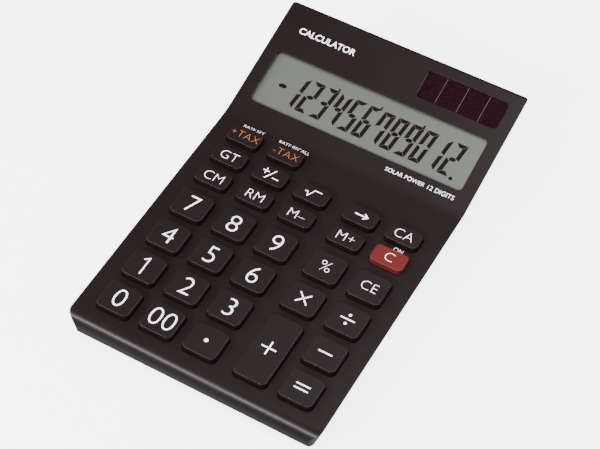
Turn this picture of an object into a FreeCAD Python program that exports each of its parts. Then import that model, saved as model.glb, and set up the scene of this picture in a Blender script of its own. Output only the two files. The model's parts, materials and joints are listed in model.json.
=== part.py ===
"""Desk-top pocket calculator with a raised display, as a parametric FreeCAD document.

Three frames are used, all in millimetres:
  row      +X right, +Y towards the display end, +Z up; origin on the table under the middle
  deck     origin on the sharp front top edge, y along the key deck, z out of it
  display  origin on the bend line, y up the display face, z out of it
Every size is a named cell of the sheet "dims", and features are bound to those cells.
"""
import FreeCAD, Part
import Sketcher
import math
import os
import re

doc = FreeCAD.newDocument("calculator")
V = FreeCAD.Vector
X_AXIS, Z_AXIS = V(1, 0, 0), V(0, 0, 1)

# ---------------------------------------------------------------- driving dimensions
SIZES = {
    # case
    "overall_width": 110.0, "overall_depth": 175.0, "front_height": 10.5,
    "deck_angle": 2.5, "display_tilt": 14.5, "bend_y": 118.0,
    "wall": 2.0, "side_draft": 17.0, "parting_depth": 7.5, "foot_height": 0.8,
    "front_round": 5.0, "front_low_round": 3.4, "back_round": 1.8, "bend_round": 28.0, "bottom_round": 1.0,
    "front_corner": 4.2, "back_corner": 3.0,
    "lap_height": 1.0, "lap_share": 0.5, "lap_gap": 0.1,
    # clearances used in many places: faces that only touch, clearance holes, and the ends of pilot holes
    "touch_gap": 0.02, "way_gap": 0.2, "pilot_end": 0.3, "spare": 1.0,
    # keys
    "key_pitch": 19.2, "key_column_gap": 2.8, "key_wide": 14.2, "key_tall": 13.1, "key_short": 8.4,
    "key_stand": 2.6, "key_corner": 1.9, "key_edge": 0.4, "key_gap": 0.3, "key_travel": 1.2,
    "key_skin": 1.4, "key_side": 1.2, "flange_out": 0.8, "flange_thick": 0.8, "flange_gap": 0.1,
    "plunger_radius": 2.4, "plunger_drop": 0.1, "rib_thick": 0.8,
    "row_zero": 15.3, "row_pitch": 17.35, "row_step": 16.2, "row_pitch_small": 12.35,
    # key mat and board
    "mat_thick": 0.7, "mat_gap": 0.3, "mat_margin": 8.4, "mat_width": 97.0,
    "dome_base": 4.1, "dome_top": 2.6, "dome_skin": 0.5, "dome_wall": 0.7, "dome_flare": 0.3,
    "pill_radius": 1.6, "pill_thick": 0.4, "board_thick": 1.2, "board_width": 97.0,
    "board_from": 8.6, "board_to": 113.6, "mat_corner": 2.0, "board_corner": 1.5,
    # small screws that hold the board and the display holder
    "small_shank": 0.8, "small_shank_length": 3.7, "small_head": 1.6, "small_head_thick": 1.1,
    "small_boss": 2.0, "thread_gap": 0.03, "boss_clear": 0.2,
    # case screws
    "screw_shank": 1.15, "screw_length": 5.6, "screw_head": 2.3, "screw_head_thick": 1.6,
    "screw_boss": 2.5, "screw_tube": 3.6, "screw_ledge": 1.0, "screw_sink": 2.0, "screw_gap": 0.3,
    "screw_front_inset": 5.2, "screw_front_x": 44.0, "screw_bend_x": 46.0, "screw_bend_rise": 4.4,
    "screw_bend_inset": 0.8,
    "screw_back_inset": 13.0, "screw_back_left": -40.0, "screw_back_right": 4.0, "screw_back_rise": 11.0,
    # display window, glass and holder, measured on the display face
    "window_width": 97.8, "window_low": 9.0, "window_high": 34.5, "window_corner": 2.0,
    "lens_corner": 0.9, "glass_corner": 0.3,
    "window_skin": 0.7, "tape_thick": 0.1, "lens_thick": 0.8, "lens_margin": 1.6,
    "lens_gap": 0.15, "glass_thick": 1.1, "glass_half": 49.8, "glass_ledge": 2.8, "foil_thick": 0.2,
    "holder_wall": 0.8, "holder_floor": 1.4, "holder_gap": 0.1, "holder_frame": 6.5,
    "tab_radius": 2.6, "tab_gap": 0.2, "tab_thick": 1.4, "tab_drop": 2.0,
    "pocket_corner": 0.8, "opening_chamfer": 0.3,
    "tab_top_left": -34.0, "tab_top_right": -3.0, "tab_low_x": 34.0,
    # solar panel
    "solar_left": 12.7, "solar_right": 49.1, "solar_low": 39.9, "solar_high": 52.9,
    "solar_corner": 1.8, "panel_corner": 0.5, "solar_margin": 1.3, "solar_thick": 1.2, "wire_radius": 0.5,
    "wire_x": 16.0, "wire_pitch": 2.2, "wire_drop": 9.0, "bend_share": 0.45,
    # flex cable from the glass to the board
    "flex_thick": 0.15, "flex_width": 50.0, "flex_room": 1.0, "flex_bend_share": 0.3,
    # board components
    "chip_radius": 6.0, "chip_rise": 1.5, "chip_round": 1.2, "chip_shift": 4.0,
    "capacitor_x": -12.0, "capacitor_inset": 8.0, "ceramic_x": -36.0,
    "capacitor_radius": 2.5, "capacitor_length": 7.0,
    "ceramic_long": 2.0, "ceramic_wide": 1.25, "ceramic_tall": 0.9, "ceramic_pitch": 5.0,
    # button cell and its compartment, under the board
    "cell_radius": 5.8, "cell_thick": 3.05, "cell_y": 92.0, "cell_gap": 0.15,
    "cell_cap": 0.3, "cell_rim": 0.9, "cell_round": 0.5, "well_wall": 1.2, "well_roof": 0.9,
    "spring_room": 1.0, "contact_thick": 0.25, "contact_room": 0.3,
    "positive_wide": 4.0, "negative_wide": 3.0,
    "negative_leaf": 6.5, "negative_leg_y": 3.5,
    "hatch_width": 15.6, "hatch_length": 26.0, "hatch_thick": 1.4, "hatch_gap": 0.2,
    "hatch_screw": 9.6, "hatch_screw_length": 4.6, "hatch_head_thick": 0.8, "hatch_ledge": 1.5,
    "hatch_corner": 1.2, "grip_long": 6.0, "grip_wide": 1.2, "grip_deep": 0.5,
    "post_gap": 0.4, "post_wall": 1.6,
    # feet
    "foot_radius": 4.0, "foot_sink": 0.5, "foot_front_x": 42.0, "foot_back_x": 36.0,
    "foot_inset": 15.0, "foot_gap": 0.1, "foot_round": 0.3,
}

sheet = doc.addObject("Spreadsheet::Sheet", "dims")
for number, (alias, size) in enumerate(SIZES.items(), 1):
    sheet.set(f"A{number}", alias)
    sheet.set(f"B{number}", str(size))
    sheet.setAlias(f"B{number}", alias)
doc.recompute()

WORD = re.compile(r"[A-Za-z_]+")


def with_sheet(text):
    """The expression with each size's name written as the sheet's cell."""
    return WORD.sub(lambda m: "dims." + m.group() if m.group() in SIZES else m.group(), str(text))


def bind(thing, **properties):
    """Binds properties to expressions of the sheet's sizes; x, y and z stand for the place."""
    places = {"x": "Placement.Base.x", "y": "Placement.Base.y", "z": "Placement.Base.z"}
    for name, text in properties.items():
        thing.setExpression(places.get(name, name), with_sheet(text))
    return thing


def size_of(text):
    """The number that an expression of the sheet's sizes comes to."""
    return float(sheet.evalExpression(with_sheet(text)))


# ---------------------------------------------------------------- expressions used in many places
DISPLAY_ANGLE = "(deck_angle + display_tilt)"
BEND_HEIGHT = "(front_height + bend_y * tan(deck_angle))"
BEND_ALONG = "(bend_y / cos(deck_angle))"
COLUMNS = [f"({n} * key_pitch + {g} * key_column_gap - (4 * key_pitch + key_column_gap) / 2)"
           for n, g in ((0, 0), (1, 0), (2, 0), (3, 1), (4, 1))]
ROWS = {
    "F": "(row_zero)", "E": "(row_zero + row_pitch)", "D": "(row_zero + 2 * row_pitch)",
    "C": "(row_zero + 3 * row_pitch)", "B": "(row_zero + 3 * row_pitch + row_step)",
    "A": "(row_zero + 3 * row_pitch + row_step + row_pitch_small)",
    "T": "(row_zero + 3 * row_pitch + row_step + 2 * row_pitch_small)",
    "EF": "(row_zero + row_pitch / 2)",
}
FLANGE_TOP = "(wall + flange_gap)"
FLANGE_LOW = "(wall + flange_gap + flange_thick)"
PLUNGER_LOW = "(wall + flange_gap + flange_thick + plunger_drop)"
MAT_TOP = "(wall + flange_gap + flange_thick + key_travel + mat_gap)"
BOARD_TOP = "(wall + flange_gap + flange_thick + key_travel + mat_gap + mat_thick)"
BOARD_LOW = "(wall + flange_gap + flange_thick + key_travel + mat_gap + mat_thick + board_thick)"
LENS_TOP = "(window_skin + tape_thick)"
GLASS_TOP = "(window_skin + tape_thick + lens_thick + touch_gap)"
FOIL_LOW = "(window_skin + tape_thick + lens_thick + touch_gap + 2 * glass_thick + foil_thick)"
WELL_ROOF = "(foot_height + hatch_thick + hatch_gap + cell_thick + spring_room)"


# ---------------------------------------------------------------- frames
def in_deck(thing, x="0", along="0", out="0"):
    """Puts a thing made about its own origin at a place on the key deck, turned with it."""
    thing.Placement.Rotation = FreeCAD.Rotation(X_AXIS, 1)
    bind(thing, x=x, y=f"-overall_depth / 2 + ({along}) * cos(deck_angle) - ({out}) * sin(deck_angle)",
         z=f"front_height + ({along}) * sin(deck_angle) + ({out}) * cos(deck_angle)")
    thing.setExpression("Placement.Rotation.Angle", with_sheet("deck_angle * 1 deg"))
    return thing


def in_display(thing, x="0", along="0", out="0"):
    """Puts a thing made about its own origin at a place on the display face, turned with it."""
    a = DISPLAY_ANGLE
    thing.Placement.Rotation = FreeCAD.Rotation(X_AXIS, 1)
    bind(thing, x=x, y=f"-overall_depth / 2 + bend_y + ({along}) * cos({a}) - ({out}) * sin({a})",
         z=f"{BEND_HEIGHT} + ({along}) * sin({a}) + ({out}) * cos({a})")
    thing.setExpression("Placement.Rotation.Angle", with_sheet(f"{a} * 1 deg"))
    return thing


# ---------------------------------------------------------------- building blocks
def made(kind, name, **links):
    thing = doc.addObject(kind, name)
    for key, value in links.items():
        setattr(thing, key, value)
    return thing


def block(name, wide, deep, tall, x, y, z):
    """A box whose x and y are its middle and whose z is its bottom."""
    return bind(made("Part::Box", name), Length=wide, Width=deep, Height=tall,
                x=f"({x}) - ({wide}) / 2", y=f"({y}) - ({deep}) / 2", z=z)


def rod(name, radius, tall, x, y, z):
    return bind(made("Part::Cylinder", name), Radius=radius, Height=tall, x=x, y=y, z=z)


def fused(name, *things):
    return made("Part::MultiFuse", name, Shapes=list(things))


def cut(name, base, *tools):
    tool = tools[0] if len(tools) == 1 else fused(name + "_tools", *tools)
    return made("Part::Cut", name, Base=base, Tool=tool)


def common(name, base, tool):
    return made("Part::Common", name, Base=base, Tool=tool)


def group(name, *things):
    return made("Part::Compound", name, Links=list(things))


def rounded_outline(name, wide, deep, corner):
    """A sketch of a rectangle about its origin with four equal round corners."""
    sketch = made("Sketcher::SketchObject", name)
    w, d, r = size_of(wide) / 2, size_of(deep) / 2, size_of(corner)
    ends = [((-w + r, -d), (w - r, -d)), ((w, -d + r), (w, d - r)),
            ((w - r, d), (-w + r, d)), ((-w, d - r), (-w, -d + r))]
    centres = [(w - r, -d + r), (w - r, d - r), (-w + r, d - r), (-w + r, -d + r)]
    for n in range(4):
        sketch.addGeometry(Part.LineSegment(*[V(*p, 0) for p in ends[n]]))
        turn = Part.Circle(V(*centres[n], 0), Z_AXIS, r)
        start = math.radians(90 * n - 90)
        sketch.addGeometry(Part.ArcOfCircle(turn, start, start + math.pi / 2))
    rules = []
    for n in range(4):
        rules.append(Sketcher.Constraint("Tangent", 2 * n, 2, 2 * n + 1, 1))
        rules.append(Sketcher.Constraint("Tangent", 2 * n + 1, 2, (2 * n + 2) % 8, 1))
        rules.append(Sketcher.Constraint("Vertical" if n % 2 else "Horizontal", 2 * n))
        if n:
            rules.append(Sketcher.Constraint("Equal", 1, 2 * n + 1))
    sketch.addConstraint(rules)
    sides = (("DistanceY", 0, f"-({deep}) / 2"), ("DistanceX", 2, f"({wide}) / 2"),
             ("DistanceY", 4, f"({deep}) / 2"), ("DistanceX", 6, f"-({wide}) / 2"))
    for kind, line, text in sides:
        number = sketch.addConstraint(Sketcher.Constraint(kind, -1, 1, line, 1, size_of(text)))
        sketch.setExpression(f"Constraints[{number}]", with_sheet(text))
    number = sketch.addConstraint(Sketcher.Constraint("Radius", 1, r))
    sketch.setExpression(f"Constraints[{number}]", with_sheet(corner))
    return sketch


def outline(name, *points):
    """A closed sketch through points given as pairs of expressions."""
    sketch = made("Sketcher::SketchObject", name)
    spots = [V(size_of(x), size_of(y), 0) for x, y in points]
    for n, spot in enumerate(spots):
        sketch.addGeometry(Part.LineSegment(spot, spots[(n + 1) % len(spots)]))
    for n, (x, y) in enumerate(points):
        sketch.addConstraint(Sketcher.Constraint("Coincident", n, 2, (n + 1) % len(points), 1))
        for kind, text in (("DistanceX", x), ("DistanceY", y)):
            number = sketch.addConstraint(Sketcher.Constraint(kind, -1, 1, n, 1, size_of(text)))
            sketch.setExpression(f"Constraints[{number}]", with_sheet(text))
    return sketch


def extruded(name, sketch, forward, back="0"):
    thing = made("Part::Extrusion", name, Base=sketch, DirMode="Normal", Solid=True)
    return bind(thing, LengthFwd=forward, LengthRev=back)


def rounded_block(name, wide, deep, tall, corner, x="0", y="0", z="0"):
    """A block about x and y, from z up, with its four upright edges rounded."""
    return bind(extruded(name, rounded_outline(name + "_outline", wide, deep, corner), tall), x=x, y=y, z=z)


def side_view(name, width, *points):
    """A solid of one side view, drawn in row Y and Z, carried across the width about the middle."""
    sketch = outline(name + "_outline", *points)
    sketch.Placement.Rotation = FreeCAD.Rotation(V(1, 1, 1), 120)
    return extruded(name, sketch, f"({width}) / 2", f"({width}) / 2")


def rounded(name, base, choose, radius):
    """Rounds the edges of base that choose(middle point, edge) picks."""
    doc.recompute()
    edges = [n for n, edge in enumerate(base.Shape.Edges, 1) if choose(middle(edge), edge)]
    if not edges:
        raise ValueError(f"{name}: no edge to round")
    return made("Part::Fillet", name, Base=base, Edges=[(n, radius, radius) for n in edges])


def middle(edge):
    return edge.valueAt((edge.FirstParameter + edge.LastParameter) / 2)


def near(a, b, room=0.02):
    return abs(a - b) < room


# ---------------------------------------------------------------- case outer form
def mitre(depth):
    """Where the deck and display faces, both moved in by depth, meet: row Y and Z."""
    along = f"({BEND_ALONG} + ({depth}) * tan(display_tilt / 2))"
    return (f"-overall_depth / 2 + {along} * cos(deck_angle) + ({depth}) * sin(deck_angle)",
            f"front_height + {along} * sin(deck_angle) - ({depth}) * cos(deck_angle)")


def deck_line(depth, from_front):
    """Row Z of the deck face moved in by depth, at a distance behind the front."""
    return f"front_height + ({from_front}) * tan(deck_angle) - ({depth}) / cos(deck_angle)"


def display_line(depth, from_front):
    """Row Z of the display face moved in by depth, at a distance behind the front."""
    a = DISPLAY_ANGLE
    return f"{BEND_HEIGHT} + (({from_front}) - bend_y) * tan({a}) - ({depth}) / cos({a})"


def form(name, inset):
    """The closed form of the case, moved in by inset on every side."""
    # Plan and undercut sides: a block trimmed by a tapering section along the deck and the display.
    deep = f"(overall_depth - 2 * ({inset}))"
    stock = block(name + "_stock", "overall_width + 20", deep, "3 * front_height + overall_depth / 3",
                  "0", "0", "foot_height")
    for place, number in ((in_deck, 1), (in_display, 2)):
        reach = "overall_depth"
        half = f"(overall_width / 2 - ({inset}) / cos(side_draft))"
        lean = f"{reach} / 4 * tan(side_draft)"
        sketch = outline(f"{name}_section{number}",
                         (f"-{half} + {lean}", f"-{reach} / 4"), (f"{half} - {lean}", f"-{reach} / 4"),
                         (f"{half} + {lean}", f"{reach} / 4"), (f"-{half} - {lean}", f"{reach} / 4"))
        sketch.Placement.Rotation = FreeCAD.Rotation(X_AXIS, 90)
        side = place(extruded(f"{name}_side{number}", sketch, f"2 * {reach}", f"2 * {reach}"))
        stock = common(f"{name}_trim{number}", stock, side)
    # Upright corners.
    gap = size_of(inset)
    front, back = size_of("-overall_depth / 2") + gap, size_of("overall_depth / 2") - gap

    def corner(at_y):
        def choose(point, edge):
            ends = [v.Point for v in edge.Vertexes]
            upright = abs(ends[0].z - ends[1].z) > size_of("overall_depth / 20")
            return upright and all(near(p.y, at_y) for p in ends)
        return choose
    stock = rounded(name + "_front", stock, corner(front), max(size_of("front_corner") - gap, 0.6))
    stock = rounded(name + "_back", stock, corner(back), max(size_of("back_corner") - gap, 0.6))
    # Side view with its bend and its rounded front and back.
    low = f"foot_height + ({inset})"
    points = [(f"-overall_depth / 2 + ({inset})", low),
              (f"overall_depth / 2 - ({inset})", low),
              (f"overall_depth / 2 - ({inset})", display_line(inset, f"overall_depth - ({inset})")),
              mitre(inset),
              (f"-overall_depth / 2 + ({inset})", deck_line(inset, inset))]
    view = side_view(name + "_view", "overall_width + 40", *points)
    radii = [max(size_of("front_low_round") - gap, 0), max(size_of("bottom_round") - gap, 0),
             max(size_of("back_round") - gap, 0.4), size_of("bend_round") + gap,
             max(size_of("front_round") - gap, 0.6)]
    for n, ((y, z), radius) in enumerate(zip(points, radii)):
        at_y, at_z = size_of(y), size_of(z)
        if radius > 0:
            view = rounded(f"{name}_round{n}", view,
                           lambda p, e, y=at_y, z=at_z: near(p.y, y) and near(p.z, z), radius)
    return common(name, stock, view)


def above(name, depth):
    """Everything from depth below the deck and display faces upwards."""
    reach = "(overall_depth / 2 + 20)"
    y, z = mitre(depth)
    return side_view(name, "overall_width + 60",
                     (f"-{reach}", deck_line(depth, "-20")), (y, z),
                     (reach, display_line(depth, "overall_depth + 20")), (reach, "overall_depth"),
                     (f"-{reach}", "overall_depth"))


LAP = "(wall * lap_share)"
outer_form = form("outer_form", "0")
lap_form = form("lap_form", LAP)
lap_form_clear = form("lap_form_clear", f"{LAP} + lap_gap")
inner_form = form("inner_form", "wall")
above_parting = above("above_parting", "parting_depth")
above_lap = above("above_lap", "parting_depth - lap_height")
above_lap_clear = above("above_lap_clear", "parting_depth - lap_height - lap_gap")

# ---------------------------------------------------------------- keys
# name: column, row, size; the tall key covers two rows
KEYS = {
    "key_tax_plus": (0, "T", "short"), "key_tax_minus": (1, "T", "short"),
    "key_grand_total": (0, "A", "short"), "key_sign_change": (1, "A", "short"),
    "key_square_root": (2, "A", "short"), "key_backspace": (3, "A", "short"),
    "key_clear_all": (4, "A", "short"),
    "key_memory_clear": (0, "B", "short"), "key_memory_recall": (1, "B", "short"),
    "key_memory_minus": (2, "B", "short"), "key_memory_plus": (3, "B", "short"),
    "key_on_clear": (4, "B", "short"),
    "key_7": (0, "C", "tall"), "key_8": (1, "C", "tall"), "key_9": (2, "C", "tall"),
    "key_percent": (3, "C", "tall"), "key_clear_entry": (4, "C", "tall"),
    "key_4": (0, "D", "tall"), "key_5": (1, "D", "tall"), "key_6": (2, "D", "tall"),
    "key_multiply": (3, "D", "tall"), "key_divide": (4, "D", "tall"),
    "key_1": (0, "E", "tall"), "key_2": (1, "E", "tall"), "key_3": (2, "E", "tall"),
    "key_minus": (4, "E", "tall"),
    "key_0": (0, "F", "tall"), "key_00": (1, "F", "tall"), "key_point": (2, "F", "tall"),
    "key_equals": (4, "F", "tall"),
    "key_plus": (3, "EF", "double"),
}
KEY_DEEP = {"short": "key_short", "tall": "key_tall", "double": "(key_tall + row_pitch)"}
PLUNGERS = {"short": ["0"], "tall": ["0"], "double": ["-row_pitch / 2", "row_pitch / 2"]}
DOMES = [(COLUMNS[c], f"{ROWS[r]} + ({offset})") for c, r, kind in KEYS.values() for offset in PLUNGERS[kind]]


def key_shape(kind):
    """One key about its own middle on the deck: a hollow cap, a flange under the deck, ribs and plungers."""
    name, deep = "form_" + kind, KEY_DEEP[kind]
    cap = rounded_block(name + "_cap", "key_wide", deep, f"key_stand + {FLANGE_LOW}", "key_corner",
                        z=f"-{FLANGE_LOW}")
    top = size_of("key_stand")
    cap = rounded(name + "_edge", cap, lambda p, e: near(p.z, top), size_of("key_edge"))
    flange = rounded_block(name + "_flange", "key_wide + 2 * flange_out", f"{deep} + 2 * flange_out",
                           "flange_thick", "key_corner + flange_out", z=f"-{FLANGE_LOW}")
    hollow = rounded_block(name + "_hollow", "key_wide - 2 * key_side", f"{deep} - 2 * key_side",
                           f"key_stand - key_skin + {FLANGE_LOW}", "key_corner - key_side / 2",
                           z=f"-{FLANGE_LOW}")
    shell = cut(name + "_shell", fused(name + "_solid", cap, flange), hollow)
    rib_tall = f"key_stand - key_skin + {FLANGE_TOP}"
    ribs = [block(name + "_rib_x", "key_wide - key_side", "rib_thick", rib_tall, "0", "0", f"-{FLANGE_TOP}"),
            block(name + "_rib_y", "rib_thick", f"{deep} - key_side", rib_tall, "0", "0", f"-{FLANGE_TOP}")]
    plungers = [rod(f"{name}_plunger{n}", "plunger_radius", f"key_stand - key_skin + {PLUNGER_LOW}",
                    "0", offset, f"-{PLUNGER_LOW}") for n, offset in enumerate(PLUNGERS[kind])]
    return fused(name, shell, *ribs, *plungers)


key_forms = {kind: key_shape(kind) for kind in KEY_DEEP}
opening_forms = {kind: rounded_block("opening_" + kind, "key_wide + 2 * key_gap", f"{deep} + 2 * key_gap",
                                     "2 * wall + key_stand", "key_corner + key_gap", z="-2 * wall")
                 for kind, deep in KEY_DEEP.items()}
nodes = []
openings = []
for key, (column, row, kind) in KEYS.items():
    nodes.append(in_deck(group(key, key_forms[kind]), COLUMNS[column], ROWS[row]))
    openings.append(in_deck(group(key + "_opening", opening_forms[kind]), COLUMNS[column], ROWS[row]))

# ---------------------------------------------------------------- screws
X12, X34, X45 = (f"(({COLUMNS[a]} + {COLUMNS[a + 1]}) / 2)" for a in (0, 2, 3))
ROW_FE = f"(({ROWS['E']} + {ROWS['F']}) / 2)"
ROW_DC = f"(({ROWS['C']} + {ROWS['D']}) / 2)"
ROW_BA = f"(({ROWS['A']} + {ROWS['B']}) / 2)"
BOARD_SCREWS = [(X12, ROW_FE), (X34, ROW_FE), (X12, ROW_DC), (X34, ROW_DC), (X45, ROW_DC),
                (X12, ROW_BA), (X34, ROW_BA), (X45, ROW_BA)]
HOLDER_LOW = "(window_low - lens_margin - glass_ledge - holder_gap - holder_wall)"
HOLDER_HIGH = "(window_high + lens_margin + holder_gap + holder_wall)"
TAB_LOW_Y = f"({HOLDER_LOW} - small_boss - tab_gap)"
TAB_HIGH_Y = f"({HOLDER_HIGH} + small_boss + tab_gap)"
TABS = [("-tab_low_x", TAB_LOW_Y), ("tab_low_x", TAB_LOW_Y),
        ("tab_top_left", TAB_HIGH_Y), ("tab_top_right", TAB_HIGH_Y)]
TAB_TOP = "(wall + tab_drop)"


def screw_form(name, shank, length, head, head_thick):
    """A pan head screw with a cross slot, standing on its head's top face and pointing up."""
    body = fused(name + "_body", rod(name + "_shank", shank, f"{length} + {head_thick}", "0", "0", "0"),
                 rod(name + "_head", head, head_thick, "0", "0", "0"))
    slots = [block(f"{name}_slot{n}", wide, deep, f"{head_thick} / 2", "0", "0", "0")
             for n, (wide, deep) in enumerate(((head, f"{shank} / 2"), (f"{shank} / 2", head)))]
    return cut(name, body, *slots)


small_screw = screw_form("small_screw", "small_shank", "small_shank_length", "small_head", "small_head_thick")
case_screw = screw_form("case_screw", "screw_shank", "screw_length", "screw_head", "screw_head_thick")
inner_screws = [in_deck(group(f"board_screw{n}", small_screw), x, y, f"-{BOARD_LOW} - small_head_thick")
                for n, (x, y) in enumerate(BOARD_SCREWS)]
inner_screws += [in_display(group(f"holder_screw{n}", small_screw), x, y,
                            f"-{TAB_TOP} - tab_thick - small_head_thick")
                 for n, (x, y) in enumerate(TABS)]
nodes.append(group("inner_screws", *inner_screws))

# x, row Y, height of the ledge that the head pulls on
FRONT_Y = "(-overall_depth / 2 + screw_front_inset)"
BEND_Y = "(-overall_depth / 2 + bend_y - screw_bend_inset)"
BACK_Y = "(overall_depth / 2 - screw_back_inset)"
CASE_SCREWS = [("-screw_front_x", FRONT_Y, "screw_sink"), ("screw_front_x", FRONT_Y, "screw_sink"),
               ("-screw_bend_x", BEND_Y, "screw_bend_rise"), ("screw_bend_x", BEND_Y, "screw_bend_rise"),
               ("screw_back_left", BACK_Y, "screw_back_rise"),
               ("screw_back_right", BACK_Y, "screw_back_rise")]
nodes.append(group("case_screws", *[
    bind(group(f"case_screw{n}", case_screw), x=x, y=y, z=f"foot_height + {rise} - screw_head_thick")
    for n, (x, y, rise) in enumerate(CASE_SCREWS)]))

# ---------------------------------------------------------------- front cover
shell_cut = cut("front_shell", outer_form, inner_form)
cover = common("front_upper", shell_cut, above_parting)
# Half the wall is cut away inside along the parting, for the rear case's lip.
rebate = cut("front_rebate", lap_form, above_lap_clear)
cover = cut("front_lapped", cover, rebate)


def inside(name, tool):
    """The share of a boss or rib that lies under the cover's outer face."""
    return common(name, tool, form_for_bosses)


form_for_bosses = form("boss_form", "wall / 2")
boss_bits = []
for n, (x, y) in enumerate(BOARD_SCREWS):
    boss_bits.append(in_deck(group(f"board_boss{n}", rod(f"board_boss_rod{n}", "small_boss",
                     f"{BOARD_TOP} - wall / 2 - boss_clear", "0", "0", f"-{BOARD_TOP}")), x, y))
for n, (x, y) in enumerate(TABS):
    boss_bits.append(in_display(group(f"holder_boss{n}", rod(f"holder_boss_rod{n}", "small_boss",
                     f"{TAB_TOP} - wall / 2 - boss_clear", "0", "0", f"-{TAB_TOP}")), x, y))
case_bosses = [rod(f"case_boss{n}", "screw_boss", "overall_depth / 4", x, y,
                   f"foot_height + {rise} + screw_ledge + lap_gap")
               for n, (x, y, rise) in enumerate(CASE_SCREWS)]
boss_bits.append(inside("case_bosses", fused("case_boss_rods", *case_bosses)))
pilots = [in_deck(group(f"board_pilot{n}", rod(f"board_pilot_rod{n}", "small_shank + thread_gap",
          "small_shank_length - board_thick + pilot_end", "0", "0", f"-{BOARD_TOP}")), x, y)
          for n, (x, y) in enumerate(BOARD_SCREWS)]
pilots += [in_display(group(f"holder_pilot{n}", rod(f"holder_pilot_rod{n}", "small_shank + thread_gap",
           "small_shank_length - tab_thick + pilot_end", "0", "0", f"-{TAB_TOP}")), x, y)
           for n, (x, y) in enumerate(TABS)]
pilots += [rod(f"case_pilot{n}", "screw_shank + thread_gap", "screw_length - screw_ledge + pilot_end", x, y,
               f"foot_height + {rise} + screw_ledge") for n, (x, y, rise) in enumerate(CASE_SCREWS)]

# Openings and pockets in the display face.
WINDOW_TALL = "(window_high - window_low)"
WINDOW_MID = "((window_high + window_low) / 2)"
SOLAR_WIDE = "(solar_right - solar_left)"
SOLAR_TALL = "(solar_high - solar_low)"
SOLAR_X = "((solar_right + solar_left) / 2)"
SOLAR_Y = "((solar_high + solar_low) / 2)"


def flared_hole(name, wide, tall, corner):
    """A rounded opening whose outer edge is broken by a small chamfer."""
    hole = rounded_block(name + "_way", wide, tall, "3 * wall", corner, z="-1.5 * wall")
    flare = rounded_block(name + "_flare", f"{wide} + 2 * opening_chamfer", f"{tall} + 2 * opening_chamfer",
                          "opening_chamfer + spare", f"{corner} + opening_chamfer", z="-opening_chamfer")
    low, size = size_of("-opening_chamfer"), size_of("opening_chamfer")
    doc.recompute()
    edges = [n for n, edge in enumerate(flare.Shape.Edges, 1) if near(middle(edge).z, low)]
    broken = made("Part::Chamfer", name + "_chamfer", Base=flare, Edges=[(n, size, size) for n in edges])
    return group(name, fused(name + "_form", hole, broken))


window_hole = in_display(flared_hole("window_hole", "window_width", WINDOW_TALL, "window_corner"),
                         "0", WINDOW_MID)
window_pocket = in_display(group("window_pocket", rounded_block(
    "window_pocket_form", "window_width + 2 * (lens_margin + lens_gap)",
    f"{WINDOW_TALL} + 2 * (lens_margin + lens_gap)", "2 * wall", "pocket_corner",
    z="-2 * wall - window_skin")),
    "0", WINDOW_MID)
solar_hole = in_display(flared_hole("solar_hole", SOLAR_WIDE, SOLAR_TALL, "solar_corner"),
                        SOLAR_X, SOLAR_Y)
solar_pocket = in_display(group("solar_pocket", rounded_block(
    "solar_pocket_form", f"{SOLAR_WIDE} + 2 * (solar_margin + lens_gap)",
    f"{SOLAR_TALL} + 2 * (solar_margin + lens_gap)", "2 * wall", "pocket_corner",
    z="-2 * wall - window_skin")),
    SOLAR_X, SOLAR_Y)
cover = cut("front_with_bosses", fused("front_boss_sum", cover, *boss_bits), *pilots)
cover = cut("front_opened", cover, group("all_openings", *openings, window_hole, window_pocket,
                                         solar_hole, solar_pocket))
cover.Label = "front_cover"
nodes.append(cover)

# ---------------------------------------------------------------- rear case
rear = cut("rear_shell", cut("rear_thick", outer_form, inner_form), above_parting)
lip_band = cut("lip_band", common("lip_upper", cut("lip_ring", lap_form_clear, inner_form),
                                  above("above_lip_root", "parting_depth + lap_height / 2")), above_lap)
tubes = [rod(f"screw_tube{n}", "screw_tube", f"{rise} + screw_ledge - bottom_round / 2", x, y,
             "foot_height + bottom_round / 2") for n, (x, y, rise) in enumerate(CASE_SCREWS)]
tubes_inside = common("tubes_inside", fused("tube_rods", *tubes), form("tube_form", f"{LAP}"))
# The cell lies midway between two board screws, clear of their heads.
HATCH_X, HATCH_Y = f"(({X34} + {X45}) / 2)", "(-overall_depth / 2 + cell_y)"
HATCH_MID = f"({HATCH_Y} - hatch_length / 2 + cell_radius + well_wall + hatch_ledge)"
SCREW_Y = f"({HATCH_Y} - hatch_screw)"
HATCH_TOP = "foot_height + hatch_thick"
well = rod("cell_well", "cell_radius + cell_gap + well_wall", f"{WELL_ROOF} + well_roof - ({HATCH_TOP})",
           HATCH_X, HATCH_Y, HATCH_TOP)
POST_TOP = (f"(front_height + (cell_y - hatch_screw) * tan(deck_angle) - {BOARD_LOW} / cos(deck_angle)"
            " - post_gap)")
hatch_post = rod("hatch_post", "screw_shank + post_wall", f"{POST_TOP} - ({HATCH_TOP})",
                 HATCH_X, SCREW_Y, HATCH_TOP)
rear = fused("rear_sum", rear, lip_band, tubes_inside, well, hatch_post)
rear_tools = [rod(f"screw_sink{n}", "screw_head + screw_gap", f"{rise} + spare", x, y, "foot_height - spare")
              for n, (x, y, rise) in enumerate(CASE_SCREWS)]
rear_tools += [rod(f"screw_way{n}", "screw_shank + way_gap", f"{rise} + screw_ledge + 2 * spare", x, y,
                   "foot_height - spare") for n, (x, y, rise) in enumerate(CASE_SCREWS)]
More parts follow.
